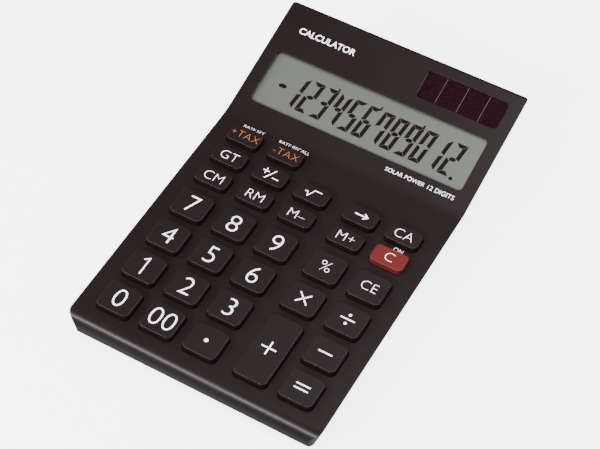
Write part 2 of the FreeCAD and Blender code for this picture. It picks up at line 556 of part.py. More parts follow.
# Battery compartment: the hatch's seat, the cell's well and the slots for its two contacts.
rear_tools.append(block("hatch_seat", "hatch_width + 2 * hatch_gap", "hatch_length + 2 * hatch_gap",
                        "hatch_thick + hatch_gap + spare", HATCH_X, HATCH_MID, "foot_height - spare"))
rear_tools.append(rod("cell_room", "cell_radius + cell_gap", f"{WELL_ROOF} - foot_height",
                      HATCH_X, HATCH_Y, "foot_height"))
rear_tools.append(rod("hatch_pilot", "screw_shank + thread_gap",
                      "hatch_head_thick + hatch_screw_length + pilot_end", HATCH_X, SCREW_Y, "foot_height"))
SLOT = "(contact_thick + contact_room)"
rear_tools.append(block("positive_slot", f"{SLOT} + cell_gap + way_gap", "positive_wide + 2 * way_gap",
                        "front_height", f"{HATCH_X} + cell_radius + {SLOT} / 2", HATCH_Y,
                        "foot_height + hatch_thick + hatch_gap"))
rear_tools.append(block("negative_slot", "negative_wide + 2 * contact_room", SLOT, "front_height / 2",
                        HATCH_X, f"{HATCH_Y} + negative_leg_y", f"{WELL_ROOF} - well_roof / 2"))
FEET = {
    "front_feet": ("foot_front_x", "(-overall_depth / 2 + foot_inset)"),
    "rear_feet": ("foot_back_x", "(overall_depth / 2 - foot_inset)"),
}
rear_tools += [rod(f"{label}_seat_{side}", "foot_radius + foot_gap", "foot_sink + spare", f"{sign} * {x}", y,
                   "foot_height - spare")
               for label, (x, y) in FEET.items() for side, sign in (("right", 1), ("left", -1))]
rear = cut("rear_case", rear, group("rear_tools", *rear_tools))
nodes.append(rear)
for label, (x, y) in FEET.items():
    pads = []
    for side, sign in (("right", 1), ("left", -1)):
        pad = rod(f"{label}_{side}", "foot_radius", "foot_height + foot_sink", f"{sign} * {x}", y, "0")
        pads.append(rounded(f"{label}_{side}_round", pad, lambda p, e: near(p.z, 0), size_of("foot_round")))
    nodes.append(group(label, *pads))

# ---------------------------------------------------------------- battery hatch, cell and contacts
hatch = rounded_block("hatch_plate", "hatch_width", "hatch_length", "hatch_thick", "hatch_corner",
                      HATCH_X, HATCH_MID, "foot_height")
hatch_cuts = [rod("hatch_sink", "screw_head + way_gap", "hatch_head_thick + spare", HATCH_X, SCREW_Y,
                  "foot_height - spare"),
              rod("hatch_way", "screw_shank + way_gap", "hatch_thick + 2 * spare", HATCH_X, SCREW_Y,
                  "foot_height - spare"),
              block("hatch_grip", "grip_long", "grip_wide", "grip_deep + spare", HATCH_X,
                    f"{HATCH_Y} + cell_radius - 1.5 * grip_wide", "foot_height - spare")]
nodes.append(cut("battery_cover", hatch, *hatch_cuts))
hatch_screw = cut("battery_cover_screw", fused(
    "hatch_screw_body",
    rod("hatch_screw_head", "screw_head", "hatch_head_thick", HATCH_X, SCREW_Y, "foot_height"),
    rod("hatch_screw_shank", "screw_shank", "hatch_screw_length", HATCH_X, SCREW_Y,
        "foot_height + hatch_head_thick")),
    block("hatch_screw_slot", "screw_head * 1.4", "screw_shank / 2", "hatch_head_thick / 2",
          HATCH_X, SCREW_Y, "foot_height"))
nodes.append(hatch_screw)
CELL_LOW = "(foot_height + hatch_thick + hatch_gap / 2)"
cell_can = rod("cell_can", "cell_radius", "cell_thick - cell_cap", HATCH_X, HATCH_Y, CELL_LOW)
cell_can = rounded("cell_can_round", cell_can, lambda p, e: near(p.z, size_of(CELL_LOW)),
                   size_of("cell_round"))
cell_cap = rod("cell_top", "cell_radius - cell_rim", "cell_cap", HATCH_X, HATCH_Y,
               f"{CELL_LOW} + cell_thick - cell_cap")
nodes.append(fused("button_cell", cell_can, cell_cap))
BOARD_HEIGHT = f"(front_height + cell_y * tan(deck_angle) - {BOARD_LOW} / cos(deck_angle) - cell_gap)"
CELL_TOP = f"({CELL_LOW} + cell_thick)"
nodes.append(block("battery_contact_positive", "contact_thick", "positive_wide",
                   f"{BOARD_HEIGHT} - {CELL_LOW} - 2 * way_gap",
                   f"{HATCH_X} + cell_radius + contact_thick / 2 + touch_gap", HATCH_Y,
                   f"{CELL_LOW} + 2 * way_gap"))
negative = fused("battery_contact_negative",
                 block("negative_spring", "negative_wide", "negative_leaf", "contact_thick", HATCH_X,
                       f"{HATCH_Y} + negative_leg_y + contact_thick / 2 - negative_leaf / 2",
                       f"{CELL_TOP} + touch_gap"),
                 block("negative_leg", "negative_wide", "contact_thick",
                       f"{BOARD_HEIGHT} - {CELL_TOP} - touch_gap", HATCH_X, f"{HATCH_Y} + negative_leg_y",
                       f"{CELL_TOP} + touch_gap"))
nodes.append(negative)

# ---------------------------------------------------------------- key mat, pills and board
dome_forms = {
    "outer": bind(made("Part::Cone", "dome_outer"), Radius1="dome_base", Radius2="dome_top",
                  Height=f"{MAT_TOP} - {PLUNGER_LOW}", z=f"-{MAT_TOP}"),
    "inner": bind(made("Part::Cone", "dome_inner"), Radius1="dome_base - dome_wall + dome_flare",
                  Radius2="dome_top - dome_wall",
                  Height=f"{BOARD_TOP} - {PLUNGER_LOW} - dome_skin + touch_gap",
                  z=f"-{BOARD_TOP} - touch_gap"),
    "pill": rod("pill_form", "pill_radius", "pill_thick", "0", "0",
                f"-{PLUNGER_LOW} - dome_skin - pill_thick"),
}


def at_domes(name, shape):
    return group(name, *[in_deck(group(f"{name}{n}", shape), x, y) for n, (x, y) in enumerate(DOMES)])


MAT_MID = "((mat_margin + board_to) / 2)"
web = rounded_block("mat_web_form", "mat_width", "board_to - mat_margin", "mat_thick", "mat_corner",
                    z=f"-{BOARD_TOP}")
web = in_deck(group("mat_web", web), "0", MAT_MID)
mat_hole = rod("mat_hole", "small_boss + mat_gap", "3 * mat_thick", "0", "0", f"-{BOARD_TOP} - mat_thick")
mat_holes = [in_deck(group(f"mat_hole{n}", mat_hole), x, y) for n, (x, y) in enumerate(BOARD_SCREWS)]
nodes.append(cut("key_mat", fused("mat_solid", web, at_domes("outer_domes", dome_forms["outer"])),
                 at_domes("inner_domes", dome_forms["inner"]), *mat_holes))
pills = at_domes("contact_pills", dome_forms["pill"])
nodes.append(pills)
BOARD_MID = "((board_from + board_to) / 2)"
board = rounded_block("board_plate_form", "board_width", "board_to - board_from", "board_thick",
                      "board_corner", z=f"-{BOARD_LOW}")
board = in_deck(group("board_plate", board), "0", BOARD_MID)
board_hole = rod("board_hole", "small_shank + way_gap", "3 * board_thick", "0", "0",
                 f"-{BOARD_LOW} - board_thick")
board_holes = [in_deck(group(f"board_hole{n}", board_hole), x, y) for n, (x, y) in enumerate(BOARD_SCREWS)]
nodes.append(cut("main_board", board, *board_holes))
CHIP_LOW = f"-{BOARD_LOW} - chip_rise"
chip = rounded("chip_dome", rod("chip_disc", "chip_radius", "chip_rise", "0", "0", CHIP_LOW),
               lambda p, e: near(p.z, size_of(CHIP_LOW)), size_of("chip_round"))
nodes.append(in_deck(group("controller_chip", chip), COLUMNS[1], f"{ROWS['B']} - chip_shift"))
can = rod("capacitor_can", "capacitor_radius", "capacitor_length", "0", "0", "0")
can.Placement.Rotation = FreeCAD.Rotation(V(0, 1, 0), 90)
bind(can, z=f"-{BOARD_LOW} - capacitor_radius - touch_gap")
nodes.append(in_deck(group("electrolytic_capacitor", can), "capacitor_x", "board_to - capacitor_inset"))
chips = [block(f"ceramic{n}", "ceramic_long", "ceramic_wide", "ceramic_tall", x, y,
               f"-{BOARD_LOW} - ceramic_tall")
         for n, (x, y) in enumerate((("0", "0"), ("ceramic_pitch", "0"), ("0", "-ceramic_pitch")))]
nodes.append(in_deck(group("ceramic_capacitors", *chips), "ceramic_x", ROWS["A"]))

# ---------------------------------------------------------------- display stack
def lens_plate(name, wide, low, high, depth, thick, corner="lens_corner"):
    """A plate behind the window, from low to high on the display face, its front at a depth below it."""
    plate = rounded_block(name + "_form", wide, f"({high}) - ({low})", thick, corner,
                          z=f"-({depth}) - ({thick})")
    return in_display(group(name, plate), "0", f"(({high}) + ({low})) / 2")


LENS_WIDE = "window_width + 2 * lens_margin"
LENS_LOW, LENS_HIGH = "window_low - lens_margin", "window_high + lens_margin"
nodes.append(lens_plate("display_window", LENS_WIDE, LENS_LOW, LENS_HIGH, LENS_TOP, "lens_thick"))


def tape_ring(name, wide, tall, margin, outer_corner, inner_corner, x, y):
    """Double-sided tape between the cover and a plate behind an opening of the display face."""
    outer = rounded_block(name + "_out", f"{wide} + 2 * {margin}", f"{tall} + 2 * {margin}", "tape_thick",
                          outer_corner)
    inner = rounded_block(name + "_in", wide, tall, "3 * tape_thick", inner_corner, z="-tape_thick")
    return in_display(group(name, cut(name + "_ring", outer, inner)), x, y, f"-{LENS_TOP}")


nodes.append(tape_ring("display_window_tape", "window_width", WINDOW_TALL, "lens_margin", "lens_corner",
                       "window_corner", "0", WINDOW_MID))
GLASS_WIDE = "2 * glass_half"
nodes.append(lens_plate("lcd_front_glass", GLASS_WIDE, LENS_LOW, LENS_HIGH, GLASS_TOP, "glass_thick",
                        "glass_corner"))
nodes.append(lens_plate("lcd_rear_glass", GLASS_WIDE, f"{LENS_LOW} - glass_ledge", LENS_HIGH,
                        f"{GLASS_TOP} + glass_thick", "glass_thick", "glass_corner"))
nodes.append(lens_plate("lcd_reflector", GLASS_WIDE, LENS_LOW, LENS_HIGH,
                        f"{GLASS_TOP} + 2 * glass_thick", "foil_thick", "glass_corner"))
HOLDER_TALL = f"({HOLDER_HIGH} - {HOLDER_LOW})"
HOLDER_MID = f"(({HOLDER_HIGH} + {HOLDER_LOW}) / 2)"
HOLDER_TOP = "(wall + holder_gap)"
tray = rounded_block("holder_tray", "2 * (glass_half + holder_gap + holder_wall)", HOLDER_TALL,
                     f"{FOIL_LOW} + holder_floor - {HOLDER_TOP}", "holder_wall", y=HOLDER_MID,
                     z=f"-{FOIL_LOW} - holder_floor")
pocket = rounded_block("holder_pocket", "2 * (glass_half + holder_gap)", f"{HOLDER_TALL} - 2 * holder_wall",
                       f"{FOIL_LOW}", "holder_wall / 2", y=HOLDER_MID, z=f"-{FOIL_LOW}")
tabs = [rod(f"holder_tab{n}", "tab_radius", "tab_thick", x, y, f"-{TAB_TOP} - tab_thick")
        for n, (x, y) in enumerate(TABS)]
tab_holes = [rod(f"holder_hole{n}", "small_shank + way_gap", "3 * tab_thick", x, y,
                 f"-{TAB_TOP} - 2 * tab_thick") for n, (x, y) in enumerate(TABS)]
flex_slot = block("flex_slot", "flex_width + 2 * flex_room", "4 * flex_room", f"{FOIL_LOW} + flex_room",
                  "0", HOLDER_LOW, f"-{FOIL_LOW} - flex_room / 2")
window_back = rounded_block("holder_window", "2 * (glass_half - holder_frame)",
                            f"{HOLDER_TALL} - 2 * holder_frame", "holder_floor * 3", "window_corner",
                            y=HOLDER_MID, z=f"-{FOIL_LOW} - 2 * holder_floor")
holder = cut("holder_form", fused("holder_sum", tray, *tabs), pocket, flex_slot, window_back, *tab_holes)
nodes.append(in_display(group("lcd_holder", holder)))

# ---------------------------------------------------------------- solar panel, its tape and leads
panel = rounded_block("solar_panel_form", f"{SOLAR_WIDE} + 2 * solar_margin",
                      f"{SOLAR_TALL} + 2 * solar_margin", "solar_thick", "panel_corner", z="-solar_thick")
nodes.append(in_display(group("solar_panel", panel), SOLAR_X, SOLAR_Y, f"-{LENS_TOP}"))
nodes.append(tape_ring("solar_panel_tape", SOLAR_WIDE, SOLAR_TALL, "solar_margin", "panel_corner",
                       "solar_corner",
                       SOLAR_X, SOLAR_Y))


def row_point(angle, start_y, start_z, along, out):
    """Row Y and Z, as numbers, of a point of a tilted frame."""
    turn, along, out = math.radians(size_of(angle)), size_of(along), size_of(out)
    return (size_of(start_y) + along * math.cos(turn) - out * math.sin(turn),
            size_of(start_z) + along * math.sin(turn) + out * math.cos(turn))


def deck_point(along, out):
    return row_point("deck_angle", "-overall_depth / 2", "front_height", along, out)


def display_point(along, out):
    return row_point(DISPLAY_ANGLE, "-overall_depth / 2 + bend_y", BEND_HEIGHT, along, out)


def bent_path(points, share="bend_share"):
    """Straight runs through points of one side view, joined by tangent arcs that use a share of the runs."""
    share = size_of(share)
    spots = [V(0, y, z) for y, z in points]
    edges, start = [], spots[0]
    for before, here, after in zip(spots, spots[1:], spots[2:]):
        back, on = (before - here).normalize(), (after - here).normalize()
        reach = share * min((before - here).Length, (after - here).Length)
        first, last = here + back * reach, here + on * reach
        turn = math.pi - back.getAngle(on)
        radius = reach / math.tan(turn / 2)
        print(f"  arc of radius {radius:.2f} mm, turning {math.degrees(turn):.0f} degrees")
        inward = (back + on).normalize()
        centre = here + inward * (radius / math.cos(turn / 2))
        edges.append(Part.LineSegment(start, first).toShape())
        edges.append(Part.Arc(first, centre - inward * radius, last).toShape())
        start = last
    edges.append(Part.LineSegment(start, spots[-1]).toShape())
    return Part.Wire(edges)


lead_points = [display_point(SOLAR_Y, f"-{LENS_TOP} - solar_thick - touch_gap"),
               display_point(SOLAR_Y, f"-{LENS_TOP} - solar_thick - wire_drop"),
               display_point("window_low", f"-{FOIL_LOW} - holder_floor - 8"),
               deck_point("board_to - 1", f"-{BOARD_LOW} - 4.6"),
               deck_point("board_to - 6", f"-{BOARD_LOW} - 3.6"),
               deck_point("board_to - 6", f"-{BOARD_LOW} - touch_gap")]
print("solar leads:")
lead_path = bent_path(lead_points)
lead_start = V(0, *lead_points[0])
lead_end = Part.Circle(lead_start, V(0, *lead_points[1]) - lead_start, size_of("wire_radius"))
lead = lead_path.makePipeShell([Part.Wire(lead_end.toShape())], True, False)
lead_expected = math.pi * size_of("wire_radius") ** 2 * lead_path.Length
print(f"  length {lead_path.Length:.1f} mm, volume {lead.Volume:.2f} of {lead_expected:.2f} cubic mm")
leads = []
for n in range(2):
    wire = made("Part::Feature", f"solar_lead{n}", Shape=lead)
    leads.append(bind(wire, x=f"wire_x + {n} * wire_pitch"))
nodes.append(group("solar_leads", *leads))

# ---------------------------------------------------------------- flex cable
FLEX_TOP = f"-{GLASS_TOP} - glass_thick + flex_thick / 2 + touch_gap / 2"
flex_points = [display_point("window_low - lens_margin - 0.4", FLEX_TOP),
               display_point("window_low - lens_margin - glass_ledge - 1.2", FLEX_TOP),
               deck_point("board_to + 3.2", f"-{BOARD_LOW} - flex_thick / 2 - touch_gap / 2"),
               deck_point("board_to - 4", f"-{BOARD_LOW} - flex_thick / 2 - touch_gap / 2")]
print("flex cable:")
flex_path = bent_path(flex_points, "flex_bend_share")
first_run = V(0, *flex_points[1]) - V(0, *flex_points[0])
across = first_run.cross(X_AXIS).normalize()
half_thick, half_wide = size_of("flex_thick") / 2, size_of("flex_width") / 2
start = V(0, *flex_points[0])
corners = [start + across * (half_thick * a) + X_AXIS * (half_wide * b)
           for a, b in ((1, 1), (1, -1), (-1, -1), (-1, 1), (1, 1))]
ribbon = flex_path.makePipeShell([Part.makePolygon(corners)], True, False)
nodes.append(made("Part::Feature", "lcd_flex_cable", Shape=ribbon))

# ---------------------------------------------------------------- build, test and write
doc.recompute()
failed = [o.Label for o in doc.Objects if {"Invalid", "Error"} & set(o.State)]
if failed:
    raise RuntimeError(f"features failed: {failed}")
os.makedirs("parts", exist_ok=True)
for node in nodes:
    shape = node.Shape
    if shape.isNull() or not shape.isValid() or not shape.Solids:
        raise RuntimeError(f"{node.Label} has no sound shape")
    shape.exportStep(f"parts/{node.Label}.step")
    print(f"{node.Label:28s} solids {len(shape.Solids):3d}  volume {shape.Volume:10.1f}")
print("nodes", len(nodes))
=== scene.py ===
"""Looks of a desk calculator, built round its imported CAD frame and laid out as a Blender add-on."""
import json
import math

import bpy
import numpy as np
from mathutils import Matrix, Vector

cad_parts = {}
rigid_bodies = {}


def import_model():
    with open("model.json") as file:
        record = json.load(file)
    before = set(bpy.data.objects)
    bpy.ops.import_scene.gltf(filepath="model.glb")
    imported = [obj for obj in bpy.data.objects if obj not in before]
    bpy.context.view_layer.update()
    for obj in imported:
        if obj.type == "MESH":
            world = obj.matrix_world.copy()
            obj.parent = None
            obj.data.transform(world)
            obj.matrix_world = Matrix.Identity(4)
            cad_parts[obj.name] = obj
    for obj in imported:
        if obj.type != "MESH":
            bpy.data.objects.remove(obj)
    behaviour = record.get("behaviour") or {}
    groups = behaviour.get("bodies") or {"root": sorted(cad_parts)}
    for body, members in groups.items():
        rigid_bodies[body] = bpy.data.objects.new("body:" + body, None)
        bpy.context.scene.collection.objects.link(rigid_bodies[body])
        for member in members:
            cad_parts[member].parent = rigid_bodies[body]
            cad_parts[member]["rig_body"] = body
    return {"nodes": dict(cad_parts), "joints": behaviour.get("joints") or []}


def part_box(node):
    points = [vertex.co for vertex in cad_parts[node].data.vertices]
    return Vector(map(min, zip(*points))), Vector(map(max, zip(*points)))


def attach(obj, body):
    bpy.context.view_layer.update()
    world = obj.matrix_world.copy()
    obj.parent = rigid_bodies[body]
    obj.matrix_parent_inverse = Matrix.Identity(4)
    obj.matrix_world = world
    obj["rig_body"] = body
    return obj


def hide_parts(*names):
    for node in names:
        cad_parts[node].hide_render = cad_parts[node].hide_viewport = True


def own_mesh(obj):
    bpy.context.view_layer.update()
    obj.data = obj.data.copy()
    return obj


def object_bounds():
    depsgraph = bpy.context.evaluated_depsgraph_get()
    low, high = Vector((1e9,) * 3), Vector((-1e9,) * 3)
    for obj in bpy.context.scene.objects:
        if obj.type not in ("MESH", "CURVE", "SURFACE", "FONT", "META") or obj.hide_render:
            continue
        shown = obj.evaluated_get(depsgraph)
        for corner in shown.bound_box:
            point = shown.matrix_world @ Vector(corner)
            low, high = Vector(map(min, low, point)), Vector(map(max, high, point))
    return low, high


bl_info = {
    "name": "Desk Calculator Looks",
    "version": (1, 0, 0),
    "blender": (4, 5, 0),
    "location": "3D View > Sidebar > Calculator",
    "description": "Finishes, printed legends, display digits, solar cells and studio for a desk calculator",
    "category": "Object",
}

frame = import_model()
cad_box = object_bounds()

MM = 0.001      # sizes are in millimetres where nothing else is said, and this makes them metres
CASE = "case"
KEYS = [joint["child"] for joint in frame["joints"]]
RED_KEY = "key_on_clear"
DOME_REACH = 4.1        # from a plunger's middle to the rim of its dome
PILL_REACH = 3.0        # from a plunger's middle past the rim of its contact pill
INK_THICK = 0.02
CAPITAL_SHARE = 0.73    # height of a capital, as a share of the font's size
SHARP = math.radians(35.0)      # faces that meet at more than this keep a crisp edge
SAME_PLACE = 0.0005     # corners closer than this become one
SAME_PLANE = 0.02       # the step in which the planes of faces are told apart
CELL_TALL, CELL_CORNER, CELL_THICK = 15.0, 0.15, 0.03


# ---------------------------------------------------------------- places on the tilted faces
def values_of(items, label, wide=1, kind=float):
    """One property of all faces, corners or vertices of a mesh as an array, in rows if it is wide."""
    values = np.empty(len(items) * wide, kind)
    items.foreach_get(label, values)
    return values.reshape(-1, wide) if wide > 1 else values


def face_table(mesh):
    """Unit normals, areas and centres of a mesh's faces, as arrays."""
    faces = mesh.polygons
    return values_of(faces, "normal", 3), values_of(faces, "area"), values_of(faces, "center", 3)


def plane_of(node, normal=None):
    """(unit normal, offset) of the largest flat face that looks up, or that looks along normal."""
    normals, area, centre = face_table(frame["nodes"][node].data)
    if normal is None:
        up = normals[:, 2] > 0.5
        kinds, which = np.unique(normals[up].round(3), axis=0, return_inverse=True)
        normal = kinds[np.argmax(np.bincount(which.ravel(), area[up]))]
    alike = normals @ (normal / np.linalg.norm(normal)) > 0.9999
    normal = np.average(normals[alike], axis=0, weights=area[alike])
    normal /= np.linalg.norm(normal)
    step = SAME_PLANE * MM
    steps = (centre[alike] @ normal / step).round()
    kinds, which = np.unique(steps, return_inverse=True)
    offset = kinds[np.argmax(np.bincount(which.ravel(), area[alike]))]
    exact = centre[alike][steps == offset] @ normal
    return normal, float(np.average(exact))


def axes_at(origin, normal):
    """4 by 4 matrix of a frame on a face: x across, y up the slope, z out of the face."""
    matrix = np.eye(4)
    matrix[:3, 0] = (1, 0, 0)
    matrix[:3, 1] = np.cross(normal, (1, 0, 0))
    matrix[:3, 2] = normal
    matrix[:3, 3] = origin
    return matrix


def key_frame(node):
    """Frame at the middle of a key's top face."""
    normal, offset = plane_of(node)
    low, high = (np.array(corner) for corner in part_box(node))
    middle = (low + high) / 2
    return axes_at(middle + normal * (offset - middle @ normal), normal)


def bend_frames():
    """Frames of the deck, from its front edge, and of the display face, from the bend line."""
    deck_normal = -np.array(frame["joints"][0]["axis"], float)
    deck_normal, deck_offset = plane_of("front_cover", deck_normal / np.linalg.norm(deck_normal))
    face_normal, _ = plane_of("display_window")
    face_normal, face_offset = plane_of("front_cover", face_normal)
    bend = np.linalg.solve([deck_normal[1:], face_normal[1:]], [deck_offset, face_offset])
    front_y = cad_box[0].y
    front_z = (deck_offset - front_y * deck_normal[1]) / deck_normal[2]
    return axes_at((0, front_y, front_z), deck_normal), axes_at((0, *bend), face_normal)


DECK, DISPLAY = bend_frames()


def moved(matrix, x=0.0, y=0.0, z=0.0):
    """The frame moved by x, y and z millimetres along its own axes."""
    step = np.eye(4)
    step[:3, 3] = np.array((x, y, z)) * MM
    return matrix @ step


# ---------------------------------------------------------------- meshes
def add_piece(name, points, faces, material, body, smooth=False):
    """A new piece from points in metres and lists of corner numbers, riding on a CAD body."""
    mesh = bpy.data.meshes.new(name)
    mesh.from_pydata(np.asarray(points).tolist(), [], faces)
    mesh.validate()
    if smooth:
        mesh.shade_smooth()
    return add_mesh(name, mesh, material, body)


def add_mesh(name, mesh, material, body):
    """A new piece from a finished mesh, with its material, riding on a CAD body."""
    piece = bpy.data.objects.new(name, mesh)
    bpy.context.scene.collection.objects.link(piece)
    mesh.materials.clear()
    mesh.materials.append(material)
    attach(piece, body)
    return piece


def placed(points, matrix):
    """Points in millimetres of a face's frame, as metres of the row frame."""
    points = np.asarray(points, float) * MM
    return points @ matrix[:3, :3].T + matrix[:3, 3]


def slab(outlines, thick, low=0.0):
    """Flat plates from outlines: each ring of corners is raised by thick, capped and walled."""
    points, faces = [], []
    for ring in outlines:
        count, first = len(ring), len(points)
        points += [(x, y, low) for x, y in ring] + [(x, y, low + thick) for x, y in ring]
        faces.append([first + n for n in range(count)][::-1])
        faces.append([first + count + n for n in range(count)])
        for n in range(count):
            on = (n + 1) % count
            faces.append([first + n, first + on, first + count + on, first + count + n])
    return points, faces


def ribbon(path, width):
    """Outline of a stroke: the path moved by half its width to each side, with mitred bends."""
    path = np.asarray(path, float)
    run = np.diff(path, axis=0)
    run /= np.linalg.norm(run, axis=1)[:, None]
    before = np.vstack([run[:1], run])
    after = np.vstack([run, run[-1:]])
    side = np.column_stack([-(before + after)[:, 1], (before + after)[:, 0]])
    side /= np.linalg.norm(side, axis=1)[:, None]
    straight = np.column_stack([-before[:, 1], before[:, 0]])
    reach = width / 2 / np.maximum((side * straight).sum(axis=1), 0.3)
    left, right = path + side * reach[:, None], path - side * reach[:, None]
    return np.vstack([right, left[::-1]])


def disc(x, y, radius, count=28):
    """Outline of a circle."""
    turn = np.linspace(0, 2 * np.pi, count, endpoint=False)
    return np.column_stack([x + radius * np.cos(turn), y + radius * np.sin(turn)])


def rounded_box(wide, tall, corner, steps=8):
    """Outline of a rectangle about its middle, with a quarter circle at each corner."""
    turn = np.linspace(0, np.pi / 2, steps + 1)
    arc = corner * np.column_stack([np.cos(turn), np.sin(turn)])
    rings = []
    for quarter, (sx, sy) in enumerate(((1, 1), (-1, 1), (-1, -1), (1, -1))):
        c, s = round(math.cos(quarter * math.pi / 2)), round(math.sin(quarter * math.pi / 2))
        turned = arc @ np.array(((c, s), (-s, c)))
        rings.append(turned + (sx * (wide / 2 - corner), sy * (tall / 2 - corner)))
    return np.vstack(rings)


def lettering(words, tall, bold=0.0):
    """Mesh of printed words about their own middle, in millimetres, capitals tall high."""
    curve = bpy.data.curves.new("lettering", "FONT")
    curve.body = words
    curve.size = tall / CAPITAL_SHARE
    curve.offset = bold
    curve.extrude = INK_THICK / 2
    curve.resolution_u = 8
    holder = bpy.data.objects.new("lettering", curve)
    bpy.context.scene.collection.objects.link(holder)
    mesh = bpy.data.meshes.new_from_object(holder.evaluated_get(bpy.context.evaluated_depsgraph_get()))
    bpy.data.objects.remove(holder)
    bpy.data.curves.remove(curve)
    points = values_of(mesh.vertices, "co", 3)
    points[:, :2] -= (points[:, :2].min(axis=0) + points[:, :2].max(axis=0)) / 2
    points[:, 2] += INK_THICK / 2
    return mesh, points


def print_words(name, words, tall, matrix, material, body, bold=0.0):
    """Words printed on a face, about the origin of its frame."""
    mesh, points = lettering(words, tall, bold)
    mesh.vertices.foreach_set("co", placed(points, matrix).ravel())
    mesh.update()
    return add_mesh(name, mesh, material, body)


def print_shapes(name, outlines, matrix, material, body, thick=INK_THICK, low=0.0):
    """Flat shapes printed on a face."""
    points, faces = slab(outlines, thick, low)
    return add_piece(name, placed(points, matrix), faces, material, body)


def corner_normals(mesh):
    """Normals of a mesh's face corners: at each, the mean of the normals of the faces that meet there
    within the sharp angle, each weighted by the area of the whole flat that the face belongs to."""
    normal, area, centre = face_table(mesh)
    offset = (normal * centre).sum(axis=1) / (SAME_PLANE * MM)
    _, flat = np.unique(np.column_stack([normal.round(3), offset.round()]), axis=0, return_inverse=True)
    pull = normal * np.bincount(flat.ravel(), area)[flat.ravel()][:, None]
    face = np.repeat(np.arange(len(area)), values_of(mesh.polygons, "loop_total", kind=int))
    vertex = values_of(mesh.loops, "vertex_index", kind=int)
    # Every pair of corners that share a vertex, as two arrays of corner numbers.
    order = np.argsort(vertex, kind="stable")
    start = np.searchsorted(vertex[order], vertex)
    many = np.bincount(vertex)[vertex]
    first = np.repeat(np.arange(len(vertex)), many)
    step = np.arange(many.sum()) - np.repeat(np.cumsum(many) - many, many)
    second = order[np.repeat(start, many) + step]
    alike = (normal[face[first]] * normal[face[second]]).sum(axis=1) > math.cos(SHARP)
    first, second = first[alike], second[alike]
    total = np.column_stack([np.bincount(first, pull[face[second], axis], len(vertex))
                             for axis in range(3)])
    return total / np.linalg.norm(total, axis=1)[:, None]


def refined(node, material):
    """A merged copy of a CAD node with smooth curved faces and crisp edges, standing for the node."""
    mesh = frame["nodes"][node].data.copy()
    name = node + "_fine"
    work = bpy.data.objects.new(name, mesh)
    bpy.context.scene.collection.objects.link(work)
    weld = work.modifiers.new("weld", "WELD")
    weld.merge_threshold = SAME_PLACE * MM
    welded = bpy.data.meshes.new_from_object(work.evaluated_get(bpy.context.evaluated_depsgraph_get()))
    bpy.data.objects.remove(work)
    bpy.data.meshes.remove(mesh)
    welded.name = name
    welded.shade_smooth()
    welded.normals_split_custom_set(corner_normals(welded).tolist())
    piece = add_mesh(name, welded, material, frame["nodes"][node]["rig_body"])
    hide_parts(node)
    return piece


def part_of(mesh, chosen, name):
    """A new smooth mesh of the chosen triangles of a mesh."""
    corners = values_of(mesh.loops, "vertex_index", kind=int).reshape(-1, 3)
    used, faces = np.unique(corners[chosen], return_inverse=True)
    part = bpy.data.meshes.new(name)
    part.from_pydata(values_of(mesh.vertices, "co", 3)[used].tolist(), [], faces.reshape(-1, 3).tolist())
    part.shade_smooth()
    part.normals_split_custom_set(corner_normals(part).tolist())
    return part


# ---------------------------------------------------------------- shader groups and materials
def new_group(name, inputs, outputs):
    """An empty shader group with float or colour sockets; inputs carry their defaults."""
    group = bpy.data.node_groups.new(name, "ShaderNodeTree")
    kinds = {1: "NodeSocketFloat", 3: "NodeSocketVector", 4: "NodeSocketColor"}
    for label, default in inputs.items():
        size = len(default) if isinstance(default, tuple) else 1
        socket = group.interface.new_socket(label, in_out="INPUT", socket_type=kinds[size])
        socket.default_value = default
    for label, size in outputs.items():
        group.interface.new_socket(label, in_out="OUTPUT", socket_type=kinds[size])
    return group, group.nodes.new("NodeGroupInput"), group.nodes.new("NodeGroupOutput")


def noise(tree, vector, scale, detail=2.0, roughness=0.5):
    node = tree.nodes.new("ShaderNodeTexNoise")
    node.inputs["Detail"].default_value = detail
    node.inputs["Roughness"].default_value = roughness
    tree.links.new(vector, node.inputs["Vector"])
    feed(tree, node.inputs["Scale"], scale)
    return node.outputs["Fac"]


def feed(tree, socket, value):
    """Links a socket's source, or sets its number."""
    if isinstance(value, bpy.types.NodeSocket):
        tree.links.new(value, socket)
    else:
        socket.default_value = value


def maths(tree, kind, *values):
    node = tree.nodes.new("ShaderNodeMath")
    node.operation = kind
    for socket, value in zip(node.inputs, values):
        feed(tree, socket, value)
    return node.outputs[0]


def ranged(tree, value, low, high, to_low, to_high):
    node = tree.nodes.new("ShaderNodeMapRange")
    for label, number in (("Value", value), ("From Min", low), ("From Max", high),
                          ("To Min", to_low), ("To Max", to_high)):
        feed(tree, node.inputs[label], number)
    return node.outputs[0]


def mixed(tree, share, first, second):
    node = tree.nodes.new("ShaderNodeMix")
    node.data_type = "RGBA"
    feed(tree, node.inputs[0], share)
    feed(tree, node.inputs[6], first)
    feed(tree, node.inputs[7], second)
    return node.outputs[2]


